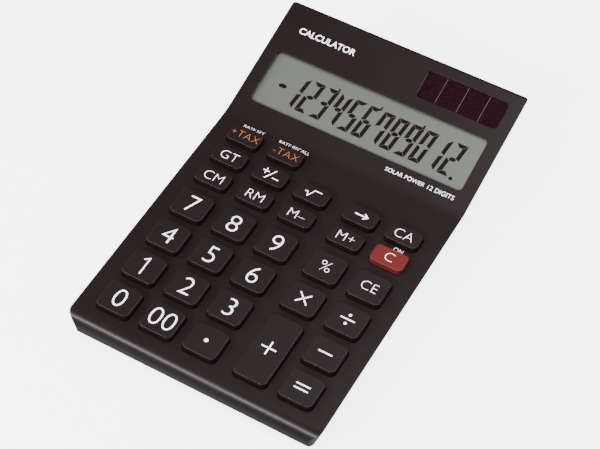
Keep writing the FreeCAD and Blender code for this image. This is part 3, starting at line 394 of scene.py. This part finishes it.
def moulded_texture():
    """Spark-eroded mould texture: fine cells and noise give height, a roughness change and a tint."""
    group, source, sink = new_group(
        "moulded texture",
        {"Vector": (0.0, 0.0, 0.0), "Grain": 3500.0, "Rough": 0.5, "Rough Spread": 0.12,
         "Colour": (0.02, 0.02, 0.02, 1.0), "Tint": (0.04, 0.04, 0.04, 1.0)},
        {"Height": 1, "Roughness": 1, "Colour": 4})
    vector = source.outputs["Vector"]
    cells = group.nodes.new("ShaderNodeTexVoronoi")
    group.links.new(vector, cells.inputs["Vector"])
    group.links.new(source.outputs["Grain"], cells.inputs["Scale"])
    fine = noise(group, vector, maths(group, "MULTIPLY", source.outputs["Grain"], 1.7), 3.0, 0.6)
    height = maths(group, "ADD", maths(group, "MULTIPLY", cells.outputs["Distance"], 0.55), fine)
    broad = noise(group, vector, 45.0, 4.0, 0.55)
    spread = maths(group, "MULTIPLY", maths(group, "SUBTRACT", broad, 0.5), source.outputs["Rough Spread"])
    group.links.new(height, sink.inputs["Height"])
    group.links.new(maths(group, "ADD", source.outputs["Rough"], spread), sink.inputs["Roughness"])
    share = ranged(group, fine, 0.35, 0.75, 0.0, 0.35)
    tinted = mixed(group, share, source.outputs["Colour"], source.outputs["Tint"])
    group.links.new(tinted, sink.inputs["Colour"])
    return group


def brushed_metal():
    """Drawn or turned metal: noise stretched along one axis gives height, roughness and tint."""
    group, source, sink = new_group(
        "brushed metal",
        {"Vector": (0.0, 0.0, 0.0), "Grain": 900.0, "Rough": 0.3, "Colour": (0.5, 0.5, 0.5, 1.0)},
        {"Height": 1, "Roughness": 1, "Colour": 4})
    stretch = group.nodes.new("ShaderNodeMapping")
    stretch.inputs["Scale"].default_value = (1.0, 0.05, 1.0)
    group.links.new(source.outputs["Vector"], stretch.inputs["Vector"])
    streak = noise(group, stretch.outputs[0], source.outputs["Grain"], 3.0, 0.6)
    stain = noise(group, source.outputs["Vector"], 220.0, 3.0, 0.6)
    darker = mixed(group, 0.35, source.outputs["Colour"], (0.12, 0.11, 0.10, 1.0))
    group.links.new(streak, sink.inputs["Height"])
    spread = maths(group, "MULTIPLY", maths(group, "SUBTRACT", streak, 0.5), 0.3)
    group.links.new(maths(group, "ADD", source.outputs["Rough"], spread), sink.inputs["Roughness"])
    share = ranged(group, stain, 0.45, 0.8, 0.0, 0.6)
    group.links.new(mixed(group, share, source.outputs["Colour"], darker), sink.inputs["Colour"])
    return group


GROUPS = {"moulded texture": moulded_texture, "brushed metal": brushed_metal}


def group_named(name):
    """A shader group, built when it is first asked for."""
    return bpy.data.node_groups.get(name) or GROUPS[name]()


def base_material(name, colour, rough, **sockets):
    """A material with a Principled shader whose constants are set on its own sockets."""
    material = bpy.data.materials.new(name)
    material.use_nodes = True
    shader = material.node_tree.nodes["Principled BSDF"]
    shader.inputs["Base Color"].default_value = (*colour[:3], 1.0)
    shader.inputs["Roughness"].default_value = rough
    for label, value in sockets.items():
        shader.inputs[label.replace("_", " ")].default_value = value
    return material, material.node_tree, shader


def textured(name, kind, colour, rough, bump, depth, group_values, **sockets):
    """A material whose colour, roughness and bump come from one of the shader groups."""
    material, tree, shader = base_material(name, colour, rough, **sockets)
    place = tree.nodes.new("ShaderNodeTexCoord")
    effect = tree.nodes.new("ShaderNodeGroup")
    effect.node_tree = group_named(kind)
    tree.links.new(place.outputs["Object"], effect.inputs["Vector"])
    effect.inputs["Colour"].default_value = (*colour[:3], 1.0)
    effect.inputs["Rough"].default_value = rough
    for label, value in group_values.items():
        effect.inputs[label].default_value = value
    tree.links.new(effect.outputs["Colour"], shader.inputs["Base Color"])
    tree.links.new(effect.outputs["Roughness"], shader.inputs["Roughness"])
    dent = tree.nodes.new("ShaderNodeBump")
    dent.inputs["Strength"].default_value = bump
    dent.inputs["Distance"].default_value = depth * MM
    tree.links.new(effect.outputs["Height"], dent.inputs["Height"])
    tree.links.new(dent.outputs["Normal"], shader.inputs["Normal"])
    return material


def lighter(colour, share):
    return tuple(value + (1 - value) * share for value in colour[:3]) + (1.0,)


def plastic(name, colour, rough=0.5, grain=3500.0, bump=0.12, **sockets):
    values = {"Grain": grain, "Tint": lighter(colour, 0.01)}
    return textured(name, "moulded texture", colour, rough, bump, 0.02, values, **sockets)


def metal(name, colour, rough=0.3, grain=900.0):
    return textured(name, "brushed metal", colour, rough, 0.1, 0.01, {"Grain": grain}, Metallic=1.0)


def ink(name, colour):
    return plastic(name, colour, 0.55, 5000.0, 0.05)


# ---------------------------------------------------------------- settings
def colour_setting(name, description, default):
    return bpy.props.FloatVectorProperty(name=name, description=description, default=default,
                                         subtype="COLOR", size=3, min=0.0, max=1.0)


def size_setting(name, description, default):
    return bpy.props.FloatProperty(name=name, description=description + ", in millimetres",
                                   default=default, min=0.0)


class CalculatorPlastics(bpy.types.PropertyGroup):
    """Colours and finish of the moulded pieces."""
    case: colour_setting("Case", "Colour of the cover and the rear case", (0.0055, 0.0023, 0.0026))
    keys: colour_setting("Keys", "Colour of the dark keys", (0.0052, 0.0022, 0.0025))
    red: colour_setting("Red key", "Colour of the on and clear key", (0.075, 0.0085, 0.0080))
    rough: bpy.props.FloatProperty(name="Roughness", description="Roughness of the plastics",
                                   default=0.34, min=0.0, max=1.0, subtype="FACTOR")
    gloss: bpy.props.FloatProperty(name="Gloss", description="Share of light the plastics mirror",
                                   default=0.13, min=0.0, max=1.0, subtype="FACTOR")


class CalculatorPrints(bpy.types.PropertyGroup):
    """Colours and heights of the printed legends."""
    white: colour_setting("White ink", "Ink of most legends", (0.92, 0.92, 0.92))
    orange: colour_setting("Orange ink", "Ink of the tax legends", (0.34, 0.115, 0.010))
    number_tall: size_setting("Number height", "Height of the numerals on the keys", 8.7)
    word_tall: size_setting("Word height", "Height of the letters on the short keys", 4.6)
    stroke: size_setting("Stroke", "Width of the drawn signs", 0.60)
    thinner: size_setting("Thinner", "Taken off each side of the letters' strokes", 0.20)


class CalculatorDisplay(bpy.types.PropertyGroup):
    """The shown number and the colours of the liquid crystal display."""
    number: bpy.props.StringProperty(name="Number", description="Shown number; ' marks the thousands",
                                     default="-123'456'789'012.")
    ground: colour_setting("Ground", "Colour of the display's ground", (0.084, 0.090, 0.078))
    dark: colour_setting("Segments", "Colour of the dark segments", (0.006, 0.002, 0.002))
    digit_tall: size_setting("Digit height", "Height of a digit", 15.5)
    digit_wide: size_setting("Digit width", "Width of a digit", 5.2)
    digit_pitch: size_setting("Digit pitch", "Distance from digit to digit", 6.6)
    segment: size_setting("Segment width", "Width of a segment", 1.75)
    slant: bpy.props.FloatProperty(name="Slant", description="Lean of the digits",
                                   default=math.radians(7.5), subtype="ANGLE")


class CalculatorSolar(bpy.types.PropertyGroup):
    """The solar panel's cells."""
    cells: bpy.props.IntProperty(name="Cells", description="Number of cells side by side", default=4, min=1)
    gap: size_setting("Gap", "Light line between two cells", 0.22)
    colour: colour_setting("Cell colour", "Colour of the cells", (0.0075, 0.0008, 0.0028))
    line: colour_setting("Line colour", "Colour of the lines between the cells", (0.050, 0.022, 0.034))


def power_setting(name, description, default):
    return bpy.props.FloatProperty(name=name, description="Power of the " + description,
                                   default=default, unit="POWER")


class CalculatorStudio(bpy.types.PropertyGroup):
    """Floor and lights."""
    floor: colour_setting("Floor", "Colour of the floor", (0.42, 0.42, 0.42))
    glow: bpy.props.FloatProperty(name="Floor glow", default=4.5, min=0.0,
                                  description="How much brighter the camera sees the floor")
    top_power: power_setting("Top light", "soft light overhead", 12.0)
    side_power: power_setting("Side light", "soft light on the left", 11.0)
    front_power: power_setting("Front light", "strip light in front", 24.0)
    edge_power: power_setting("Edge light", "light behind on the right", 4.5)
    sky: bpy.props.FloatProperty(name="Sky", description="Strength of the even light all round",
                                 default=0.30)


# ---------------------------------------------------------------- legends
def plus(size, x=0.0, y=0.0, turn=0.0):
    """Two crossed strokes, as paths, turned by an angle."""
    c, s = math.cos(turn) * size / 2, math.sin(turn) * size / 2
    return [[(x - c, y - s), (x + c, y + s)], [(x + s, y - c), (x - s, y + c)]]


def minus(size, x=0.0, y=0.0):
    return [[(x - size / 2, y), (x + size / 2, y)]]


def arrow(size):
    tip = size / 2
    return [[(-tip, 0), (tip, 0)], [(tip - 1.5, 1.4), (tip + 0.2, 0), (tip - 1.5, -1.4)]]


def root_sign():
    return [[(-3.2, -0.1), (-2.3, 0.3), (-1.4, -1.9), (0.3, 1.7), (3.5, 1.7)]]


def sign_change():
    return plus(2.9, -2.6, 1.0) + [[(-1.7, -2.6), (1.3, 2.6)]] + minus(2.8, 2.7, -1.3)


def one():
    """The numeral 1 with its flag, which the built-in font draws as a plain bar."""
    return [[(-1.9, 2.5), (0.1, 3.9), (0.1, -4.3)]]


# Signs drawn with strokes: paths and dots (x, y, radius), in millimetres about the middle of the key.
SIGNS = {
    "key_plus": (plus(6.3), ()), "key_minus": (minus(5.9), ()),
    "key_multiply": (plus(6.9, turn=math.pi / 4), ()),
    "key_divide": (minus(6.0), ((0, 2.1, 0.62), (0, -2.1, 0.62))),
    "key_equals": (minus(5.9, 0, 1.0) + minus(5.9, 0, -1.0), ()), "key_point": ((), ((0, 0, 0.85),)),
    "key_backspace": (arrow(5.4), ()), "key_square_root": (root_sign(), ()),
    "key_sign_change": (sign_change(), ()), "key_1": (one(), ()),
}
FINE_SIGNS = {"key_square_root": 0.68, "key_sign_change": 0.78}     # shares of the usual stroke
WORDS = {
    "key_tax_plus": "+TAX", "key_tax_minus": "-TAX", "key_grand_total": "GT", "key_clear_all": "CA",
    "key_memory_clear": "CM", "key_memory_recall": "RM", "key_memory_minus": "M–",
    "key_memory_plus": "M+", "key_on_clear": "C", "key_percent": "%", "key_clear_entry": "CE",
}
NUMBERS = {"key_00": "00", **{f"key_{n}": str(n) for n in range(10)}}
WORD_SHARES = {"key_tax_plus": 0.83, "key_tax_minus": 0.83, "key_percent": 1.2}     # of the word height
WORD_THINNER = 0.75     # share of the numerals' thinning that the words get
# Piece, words, height of the capitals, gain of each side of the strokes, face, and place on it.
SMALL_PRINTS = (
    ("rate_set_print", "RATE SET", 1.7, -0.02, DECK, -39.4, 114.7),
    ("rate_recall_print", "RATE RECALL", 1.7, -0.02, DECK, -20.4, 114.7),
    ("on_print", "ON", 2.0, -0.02, DECK, 40.6, 89.8),
    ("maker_space_print", "CALCULATOR", 3.0, 0.06, DISPLAY, -32.4, 46.7),
    ("digits_print", "12 DIGITS", 2.1, -0.02, DISPLAY, 42.2, 5.0),
    ("power_print", "SOLAR POWER", 1.9, -0.02, DISPLAY, 26.0, 5.0))


# ---------------------------------------------------------------- display digits
# Segments a to g of each figure, a on top, then clockwise, g in the middle.
FIGURES = {"0": "abcdef", "1": "bc", "2": "abged", "3": "abgcd", "4": "fgbc", "5": "afgcd",
           "6": "afgedc", "7": "fabc", "8": "abcdefg", "9": "abcdfg", "-": "g"}
FIRST_DIGIT, DIGIT_FEET = -37.0, 13.1       # left side of the first digit, and where the digits stand
MINUS_LEFT, MINUS_WIDE = -43.8, 5.9
TICK = np.array([(0, 0), (0.75, 0), (1.0, 1.7), (0.25, 1.7)])       # the mark between the thousands
TICK_STEP, TICK_DROP = 0.6, 0.4     # how far it stands before the next digit and below the digits' top
POINT_X, POINT_Y, POINT_RADIUS = 0.1, -0.2, 0.85
SEGMENT_THICK, SEGMENT_GAP = 0.012, 0.004       # the gap is between the segments and the glass


def segment_shapes(figure, wide, tall, bar, gap=0.10):
    """Outlines of a figure's lit segments: bars with slanted ends whose outer sides reach the corners."""
    mid, half = tall / 2, bar / 2
    top = [(gap + bar, tall - bar), (wide - gap - bar, tall - bar), (wide - gap, tall), (gap, tall)]
    upper = [(wide - bar, mid + half + gap), (wide, mid + gap),
             (wide, tall - gap), (wide - bar, tall - bar - gap)]
    middle = [(half + gap, mid), (bar + gap, mid - half), (wide - bar - gap, mid - half),
              (wide - half - gap, mid), (wide - bar - gap, mid + half), (bar + gap, mid + half)]

    def turned(shape, across, up):
        """The shape mirrored across the middle line, up the middle line, or both, corners kept in turn."""
        points = np.array(shape, float)
        if across:
            points[:, 0] = wide - points[:, 0]
        if up:
            points[:, 1] = tall - points[:, 1]
        return points[::-1] if across != up else points
    shapes = {"a": (top, False, False), "b": (upper, False, False), "c": (upper, False, True),
              "d": (top, False, True), "e": (upper, True, True), "f": (upper, True, False),
              "g": (middle, False, False)}
    return [turned(*shapes[letter]) for letter in FIGURES[figure]]


def leaned(shapes, slant, x, y):
    """Shapes leaned to the right and moved."""
    return [np.column_stack([s[:, 0] + s[:, 1] * math.tan(slant) + x, s[:, 1] + y]) for s in shapes]


# ---------------------------------------------------------------- operators
class CALCULATOR_OT_case(bpy.types.Operator):
    """Gives the cover, the rear case and the battery cover their moulded finish"""
    bl_idname = "calculator.case"
    bl_label = "Case"

    def execute(self, context):
        plastics = context.scene.calculator_plastics
        finish = plastic("textured case plastic", plastics.case, plastics.rough, 3200.0, 0.10,
                         Specular_IOR_Level=plastics.gloss)
        for node in ("front_cover", "rear_case", "battery_cover"):
            refined(node, finish)
        return {"FINISHED"}


class CALCULATOR_OT_keycaps(bpy.types.Operator):
    """Gives the keys their matt finish, the clear key in red"""
    bl_idname = "calculator.keycaps"
    bl_label = "Keycaps"

    def execute(self, context):
        plastics = context.scene.calculator_plastics
        dark = plastic("matt key plastic", plastics.keys, plastics.rough + 0.04, 4200.0, 0.08,
                       Specular_IOR_Level=plastics.gloss)
        red = plastic("red key plastic", plastics.red, plastics.rough, 4200.0, 0.08,
                      Specular_IOR_Level=plastics.gloss)
        for key in KEYS:
            is_red = key == RED_KEY
            refined(key, red if is_red else dark)
        return {"FINISHED"}


class CALCULATOR_OT_legends(bpy.types.Operator):
    """Prints the figures, words and signs on the keys"""
    bl_idname = "calculator.legends"
    bl_label = "Key Legends"

    def execute(self, context):
        prints = context.scene.calculator_prints
        white = ink("white legend ink", prints.white)
        orange = ink("orange legend ink", prints.orange)
        for key in KEYS:
            top = key_frame(key)
            name = key + "_legend"
            if key in SIGNS:
                paths, dots = SIGNS[key]
                stroke = prints.stroke * FINE_SIGNS.get(key, 1.0)
                shapes = [ribbon(path, stroke) for path in paths] + [disc(*dot) for dot in dots]
                print_shapes(name, shapes, top, white, key)
            elif key in NUMBERS:
                print_words(name, NUMBERS[key], prints.number_tall, top, white, key,
                            bold=-prints.thinner)
            else:
                tall = prints.word_tall * WORD_SHARES.get(key, 1.0)
                print_words(name, WORDS[key], tall, top, orange if "tax" in key else white, key,
                            bold=-prints.thinner * WORD_THINNER)
        return {"FINISHED"}


class CALCULATOR_OT_deck_prints(bpy.types.Operator):
    """Prints the small words on the deck and the display face"""
    bl_idname = "calculator.deck_prints"
    bl_label = "Deck Prints"

    def execute(self, context):
        white = bpy.data.materials["white legend ink"]
        for name, words, tall, bold, face, x, y in SMALL_PRINTS:
            print_words(name, words, tall, moved(face, x, y), white, CASE, bold)
        return {"FINISHED"}


class CALCULATOR_OT_display(bpy.types.Operator):
    """Makes the window clear, the glass grey green, and draws the digits"""
    bl_idname = "calculator.display"
    bl_label = "Display"

    def execute(self, context):
        display = context.scene.calculator_display
        clear = plastic("clear acrylic", (0.0, 0.0, 0.0), 0.06, 600.0, 0.01, Alpha=0.08, IOR=1.49)
        refined("display_window", clear)
        ground = plastic("display ground", display.ground, 0.35, 2400.0, 0.02)
        refined("lcd_front_glass", ground)
        refined("lcd_rear_glass", ground)
        refined("lcd_reflector", metal("reflector foil", (0.75, 0.75, 0.73), 0.35))
        holder = plastic("holder plastic", (0.03, 0.03, 0.03), 0.5)
        refined("lcd_holder", holder)
        tape = plastic("black tape", (0.012, 0.012, 0.012), 0.7)
        refined("display_window_tape", tape)
        film = plastic("amber film", (0.32, 0.14, 0.03), 0.3, 1500.0)
        refined("lcd_flex_cable", film)
        dark = plastic("dark segments", display.dark, 0.5, 2400.0, 0.02, Specular_IOR_Level=0.05)
        self.digits(display, dark)
        return {"FINISHED"}

    def digits(self, display, material):
        normal, offset = plane_of("lcd_front_glass")
        drop = (offset - DISPLAY[:3, 3] @ normal) / MM
        base = moved(DISPLAY, z=drop)
        shapes, x = [], FIRST_DIGIT
        for mark in display.number:
            if mark == "'":
                shapes.append(TICK + (x - TICK_STEP, DIGIT_FEET + display.digit_tall - TICK_DROP))
            elif mark == ".":
                shapes.append(disc(x + POINT_X, DIGIT_FEET + POINT_Y, POINT_RADIUS, 16))
            else:
                left, wide = (MINUS_LEFT, MINUS_WIDE) if mark == "-" else (x, display.digit_wide)
                lit = segment_shapes(mark, wide, display.digit_tall, display.segment)
                shapes += leaned(lit, display.slant, left, DIGIT_FEET)
                x += 0 if mark == "-" else display.digit_pitch
        print_shapes("display_digits", shapes, base, material, CASE,
                     SEGMENT_THICK, SEGMENT_GAP)


class CALCULATOR_OT_solar_panel(bpy.types.Operator):
    """Lays the dark cells and the light lines between them on the solar panel"""
    bl_idname = "calculator.solar_panel"
    bl_label = "Solar Panel"

    def execute(self, context):
        solar = context.scene.calculator_solar
        lines = plastic("cell dividers", solar.line, 0.4)
        refined("solar_panel", lines)
        tape = bpy.data.materials["black tape"]
        refined("solar_panel_tape", tape)
        cell = plastic("amorphous silicon", solar.colour, 0.15, 600.0, 0.02, Specular_IOR_Level=0.05)
        top = key_frame("solar_panel")
        low, high = (np.array(corner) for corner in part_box("solar_panel"))
        wide = (high[0] - low[0]) / MM
        each = wide / solar.cells
        for n in range(solar.cells):
            outline = rounded_box(each - solar.gap, CELL_TALL, CELL_CORNER, 3)
            print_shapes(f"solar_cell_{n + 1}", [outline + ((n + 0.5) * each - wide / 2, 0)], top, cell,
                         CASE, CELL_THICK)
        leads = plastic("lead insulation", (0.30, 0.02, 0.02), 0.45)
        refined("solar_leads", leads)
        return {"FINISHED"}


class CALCULATOR_OT_key_mat(bpy.types.Operator):
    """Finishes the silicone mat and its contact pills, as a piece round each key and one piece for the rest
    """
    bl_idname = "calculator.key_mat"
    bl_label = "Key Mat"

    def execute(self, context):
        silicone = plastic("silicone", (0.45, 0.46, 0.44), 0.6, 1800.0, 0.1, Subsurface_Weight=0.1)
        self.by_key("key_mat", silicone, "silicone", DOME_REACH)
        carbon = plastic("carbon rubber", (0.012, 0.012, 0.012), 0.75)
        self.by_key("contact_pills", carbon, "carbon_rubber", PILL_REACH)
        return {"FINISHED"}

    def centres(self, key):
        """Where a key's plungers stand on the deck: the double key's two line up with its neighbours."""
        rows = ("key_minus", "key_equals") if key == "key_plus" else (key,)
        flat = np.linalg.inv(DECK)
        x = (flat @ key_frame(key))[0, 3] / MM
        return [(x, (flat @ key_frame(row))[1, 3] / MM) for row in rows]

    def by_key(self, node, material, slot, reach):
        """The node's shape within reach of each key's plungers, as a piece of its own, and the rest of it as
        one piece."""
        mesh = frame["nodes"][node].data
        middle = (values_of(mesh.polygons, "center", 3) - DECK[:3, 3]) @ DECK[:3, :3] / MM
        normal, sheet = plane_of("key_mat")
        points = values_of(frame["nodes"]["key_mat"].data.vertices, "co", 3)
        left = np.ones(len(middle), bool)
        for joint in frame["joints"]:
            key = joint["child"]
            inside = np.zeros(len(middle), bool)
            for x, y in self.centres(key):
                inside |= np.hypot(middle[:, 0] - x, middle[:, 1] - y) < reach
            left &= ~inside
            piece = self.piece(mesh, inside, f"{node}_{key}", material, slot, node)
            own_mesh(piece)
        if left.any():
            self.piece(mesh, left, node + "_sheet", material, slot, node)

    def piece(self, mesh, chosen, name, material, slot, node):
        piece = add_mesh(name, part_of(mesh, chosen, name), material, CASE)
        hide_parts(node)
        return piece


class CALCULATOR_OT_board(bpy.types.Operator):
    """Finishes the main board and the components on it"""
    bl_idname = "calculator.board"
    bl_label = "Board"

    def execute(self, context):
        refined("main_board", plastic("paper laminate", (0.36, 0.22, 0.08), 0.5, 900.0))
        refined("controller_chip", plastic("chip resin", (0.008, 0.008, 0.009), 0.18, 700.0))
        refined("electrolytic_capacitor", plastic("capacitor sleeve", (0.02, 0.03, 0.12), 0.3))
        refined("ceramic_capacitors", plastic("fired ceramic", (0.42, 0.30, 0.17), 0.5))
        return {"FINISHED"}


class CALCULATOR_OT_battery(bpy.types.Operator):
    """Finishes the button cell and its contacts"""
    bl_idname = "calculator.battery"
    bl_label = "Battery"

    def execute(self, context):
        refined("button_cell", metal("nickel cell can", (0.62, 0.62, 0.60), 0.25))
        contact = metal("plated contact", (0.66, 0.60, 0.48), 0.3)
        for node in ("battery_contact_positive", "battery_contact_negative"):
            refined(node, contact)
        return {"FINISHED"}


class CALCULATOR_OT_fasteners(bpy.types.Operator):
    """Finishes the screws"""
    bl_idname = "calculator.fasteners"
    bl_label = "Fasteners"

    def execute(self, context):
        finish = metal("blackened screw steel", (0.20, 0.20, 0.21), 0.35)
        for node in ("inner_screws", "case_screws", "battery_cover_screw"):
            refined(node, finish)
        return {"FINISHED"}


class CALCULATOR_OT_feet(bpy.types.Operator):
    """Finishes the rubber feet"""
    bl_idname = "calculator.feet"
    bl_label = "Feet"

    def execute(self, context):
        rubber = plastic("foot rubber", (0.016, 0.016, 0.016), 0.8, 1600.0, 0.3)
        for node in ("front_feet", "rear_feet"):
            refined(node, rubber)
        return {"FINISHED"}


# Light, place, width and height in metres, and the setting that holds its power.
LIGHTS = (("top light", (0.20, 0.13, 0.85), 0.45, 0.3, "top_power"),
          ("side light", (-0.80, -0.10, 0.45), 0.5, 0.4, "side_power"),
          ("front strip", (-0.28, -0.80, 0.52), 0.7, 0.12, "front_power"),
          ("edge light", (0.75, 0.45, 0.35), 0.4, 0.3, "edge_power"))
AIM = (0.0, 0.0, 0.01)      # metres: the point that the lights face
FLOOR_HALF = 4.0            # metres
FLOOR_DROP = 0.05           # the floor lies this far under the feet, so that no faces coincide
SENSOR_WIDE, LENS = 36.0, 104.4
# Camera axes as columns, and place in millimetres, both in the deck's frame.
CAMERA_AXES = ((0.8682778, -0.3992822, 0.2943933), (0.4960096, 0.6888854, -0.5285938),
               (0.0082548, 0.6049882, 0.7961917))
CAMERA_PLACE = (202.9, -280.75, 546.02)


class CALCULATOR_OT_studio(bpy.types.Operator):
    """Sets up the floor, the lights and the camera"""
    bl_idname = "calculator.studio"
    bl_label = "Studio"

    def execute(self, context):
        studio = context.scene.calculator_studio
        self.floor(studio)
        for name, place, wide, tall, power in LIGHTS:
            self.light(name, place, wide, tall, getattr(studio, power))
        world = bpy.data.worlds.new("studio sky")
        world.use_nodes = True
        world.node_tree.nodes["Background"].inputs["Color"].default_value = (1.0, 1.0, 1.0, 1.0)
        world.node_tree.nodes["Background"].inputs["Strength"].default_value = studio.sky
        context.scene.world = world
        self.camera(context)
        return {"FINISHED"}

    def floor(self, studio):
        points = [(x * FLOOR_HALF, y * FLOOR_HALF, -FLOOR_DROP * MM)
                  for x, y in ((-1, -1), (1, -1), (1, 1), (-1, 1))]
        mesh = bpy.data.meshes.new("studio_floor")
        mesh.from_pydata(points, [], [(0, 1, 2, 3)])
        floor = bpy.data.objects.new("studio_floor", mesh)
        bpy.context.scene.collection.objects.link(floor)
        material, tree, shader = base_material("pale floor", studio.floor, 0.9, Specular_IOR_Level=0.0,
                                               Emission_Strength=studio.glow)
        path = tree.nodes.new("ShaderNodeLightPath")
        glow = mixed(tree, path.outputs["Is Camera Ray"], (0.0, 0.0, 0.0, 1.0), (1.0, 1.0, 1.0, 1.0))
        tree.links.new(glow, shader.inputs["Emission Color"])
        mesh.materials.append(material)

    def light(self, name, place, wide, tall, power):
        lamp = bpy.data.lights.new(name, "AREA")
        lamp.shape = "RECTANGLE"
        lamp.size, lamp.size_y = wide, tall
        lamp.energy = power
        holder = bpy.data.objects.new(name, lamp)
        bpy.context.scene.collection.objects.link(holder)
        place = np.array(place)
        aim_at(holder, place, np.array(AIM) - place)

    def camera(self, context):
        """A long lens in front, to the right and above."""
        lens = bpy.data.cameras.new("camera")
        lens.sensor_width = SENSOR_WIDE
        lens.lens = LENS
        lens.clip_start = 0.01
        holder = bpy.data.objects.new("camera", lens)
        bpy.context.scene.collection.objects.link(holder)
        local = np.eye(4)
        local[:3, :3] = CAMERA_AXES
        local[:3, 3] = np.array(CAMERA_PLACE) * MM
        set_matrix(holder, DECK @ local)
        context.scene.camera = holder


def set_matrix(thing, matrix):
    """Sets an object's place and turn from a 4 by 4 array."""
    thing.matrix_world = Matrix(np.asarray(matrix).tolist())


def aim_at(thing, place, direction):
    """Puts a light at a place, looking along direction."""
    back = -direction / np.linalg.norm(direction)
    across = np.cross((0.0, 0.0, 1.0), back)
    across /= np.linalg.norm(across)
    matrix = np.eye(4)
    matrix[:3] = np.column_stack([across, np.cross(back, across), back, place])
    set_matrix(thing, matrix)


# ---------------------------------------------------------------- panel and registration
SETTINGS = {"calculator_plastics": CalculatorPlastics, "calculator_prints": CalculatorPrints,
            "calculator_display": CalculatorDisplay, "calculator_solar": CalculatorSolar,
            "calculator_studio": CalculatorStudio}
OPERATORS = (CALCULATOR_OT_case, CALCULATOR_OT_keycaps, CALCULATOR_OT_legends, CALCULATOR_OT_deck_prints,
             CALCULATOR_OT_display, CALCULATOR_OT_solar_panel, CALCULATOR_OT_key_mat, CALCULATOR_OT_board,
             CALCULATOR_OT_battery, CALCULATOR_OT_fasteners, CALCULATOR_OT_feet, CALCULATOR_OT_studio)


class CALCULATOR_PT_sidebar(bpy.types.Panel):
    """Lists the settings and the steps that build the calculator's looks"""
    bl_idname = "CALCULATOR_PT_sidebar"
    bl_label = "Desk Calculator"
    bl_space_type = "VIEW_3D"
    bl_region_type = "UI"
    bl_category = "Calculator"

    def draw(self, context):
        for name, kind in SETTINGS.items():
            box = self.layout.box()
            for setting in kind.__annotations__:
                box.prop(getattr(context.scene, name), setting)
        for operator in OPERATORS:
            self.layout.operator(operator.bl_idname)


CLASSES = (*SETTINGS.values(), *OPERATORS, CALCULATOR_PT_sidebar)


def register():
    for kind in CLASSES:
        bpy.utils.register_class(kind)
    for name, kind in SETTINGS.items():
        setattr(bpy.types.Scene, name, bpy.props.PointerProperty(type=kind))


def unregister():
    for name in SETTINGS:
        delattr(bpy.types.Scene, name)
    for kind in reversed(CLASSES):
        bpy.utils.unregister_class(kind)


def main():
    register()
    for operator in OPERATORS:
        family, action = operator.bl_idname.split(".")
        getattr(getattr(bpy.ops, family), action)()


if __name__ == "__main__":
    main()
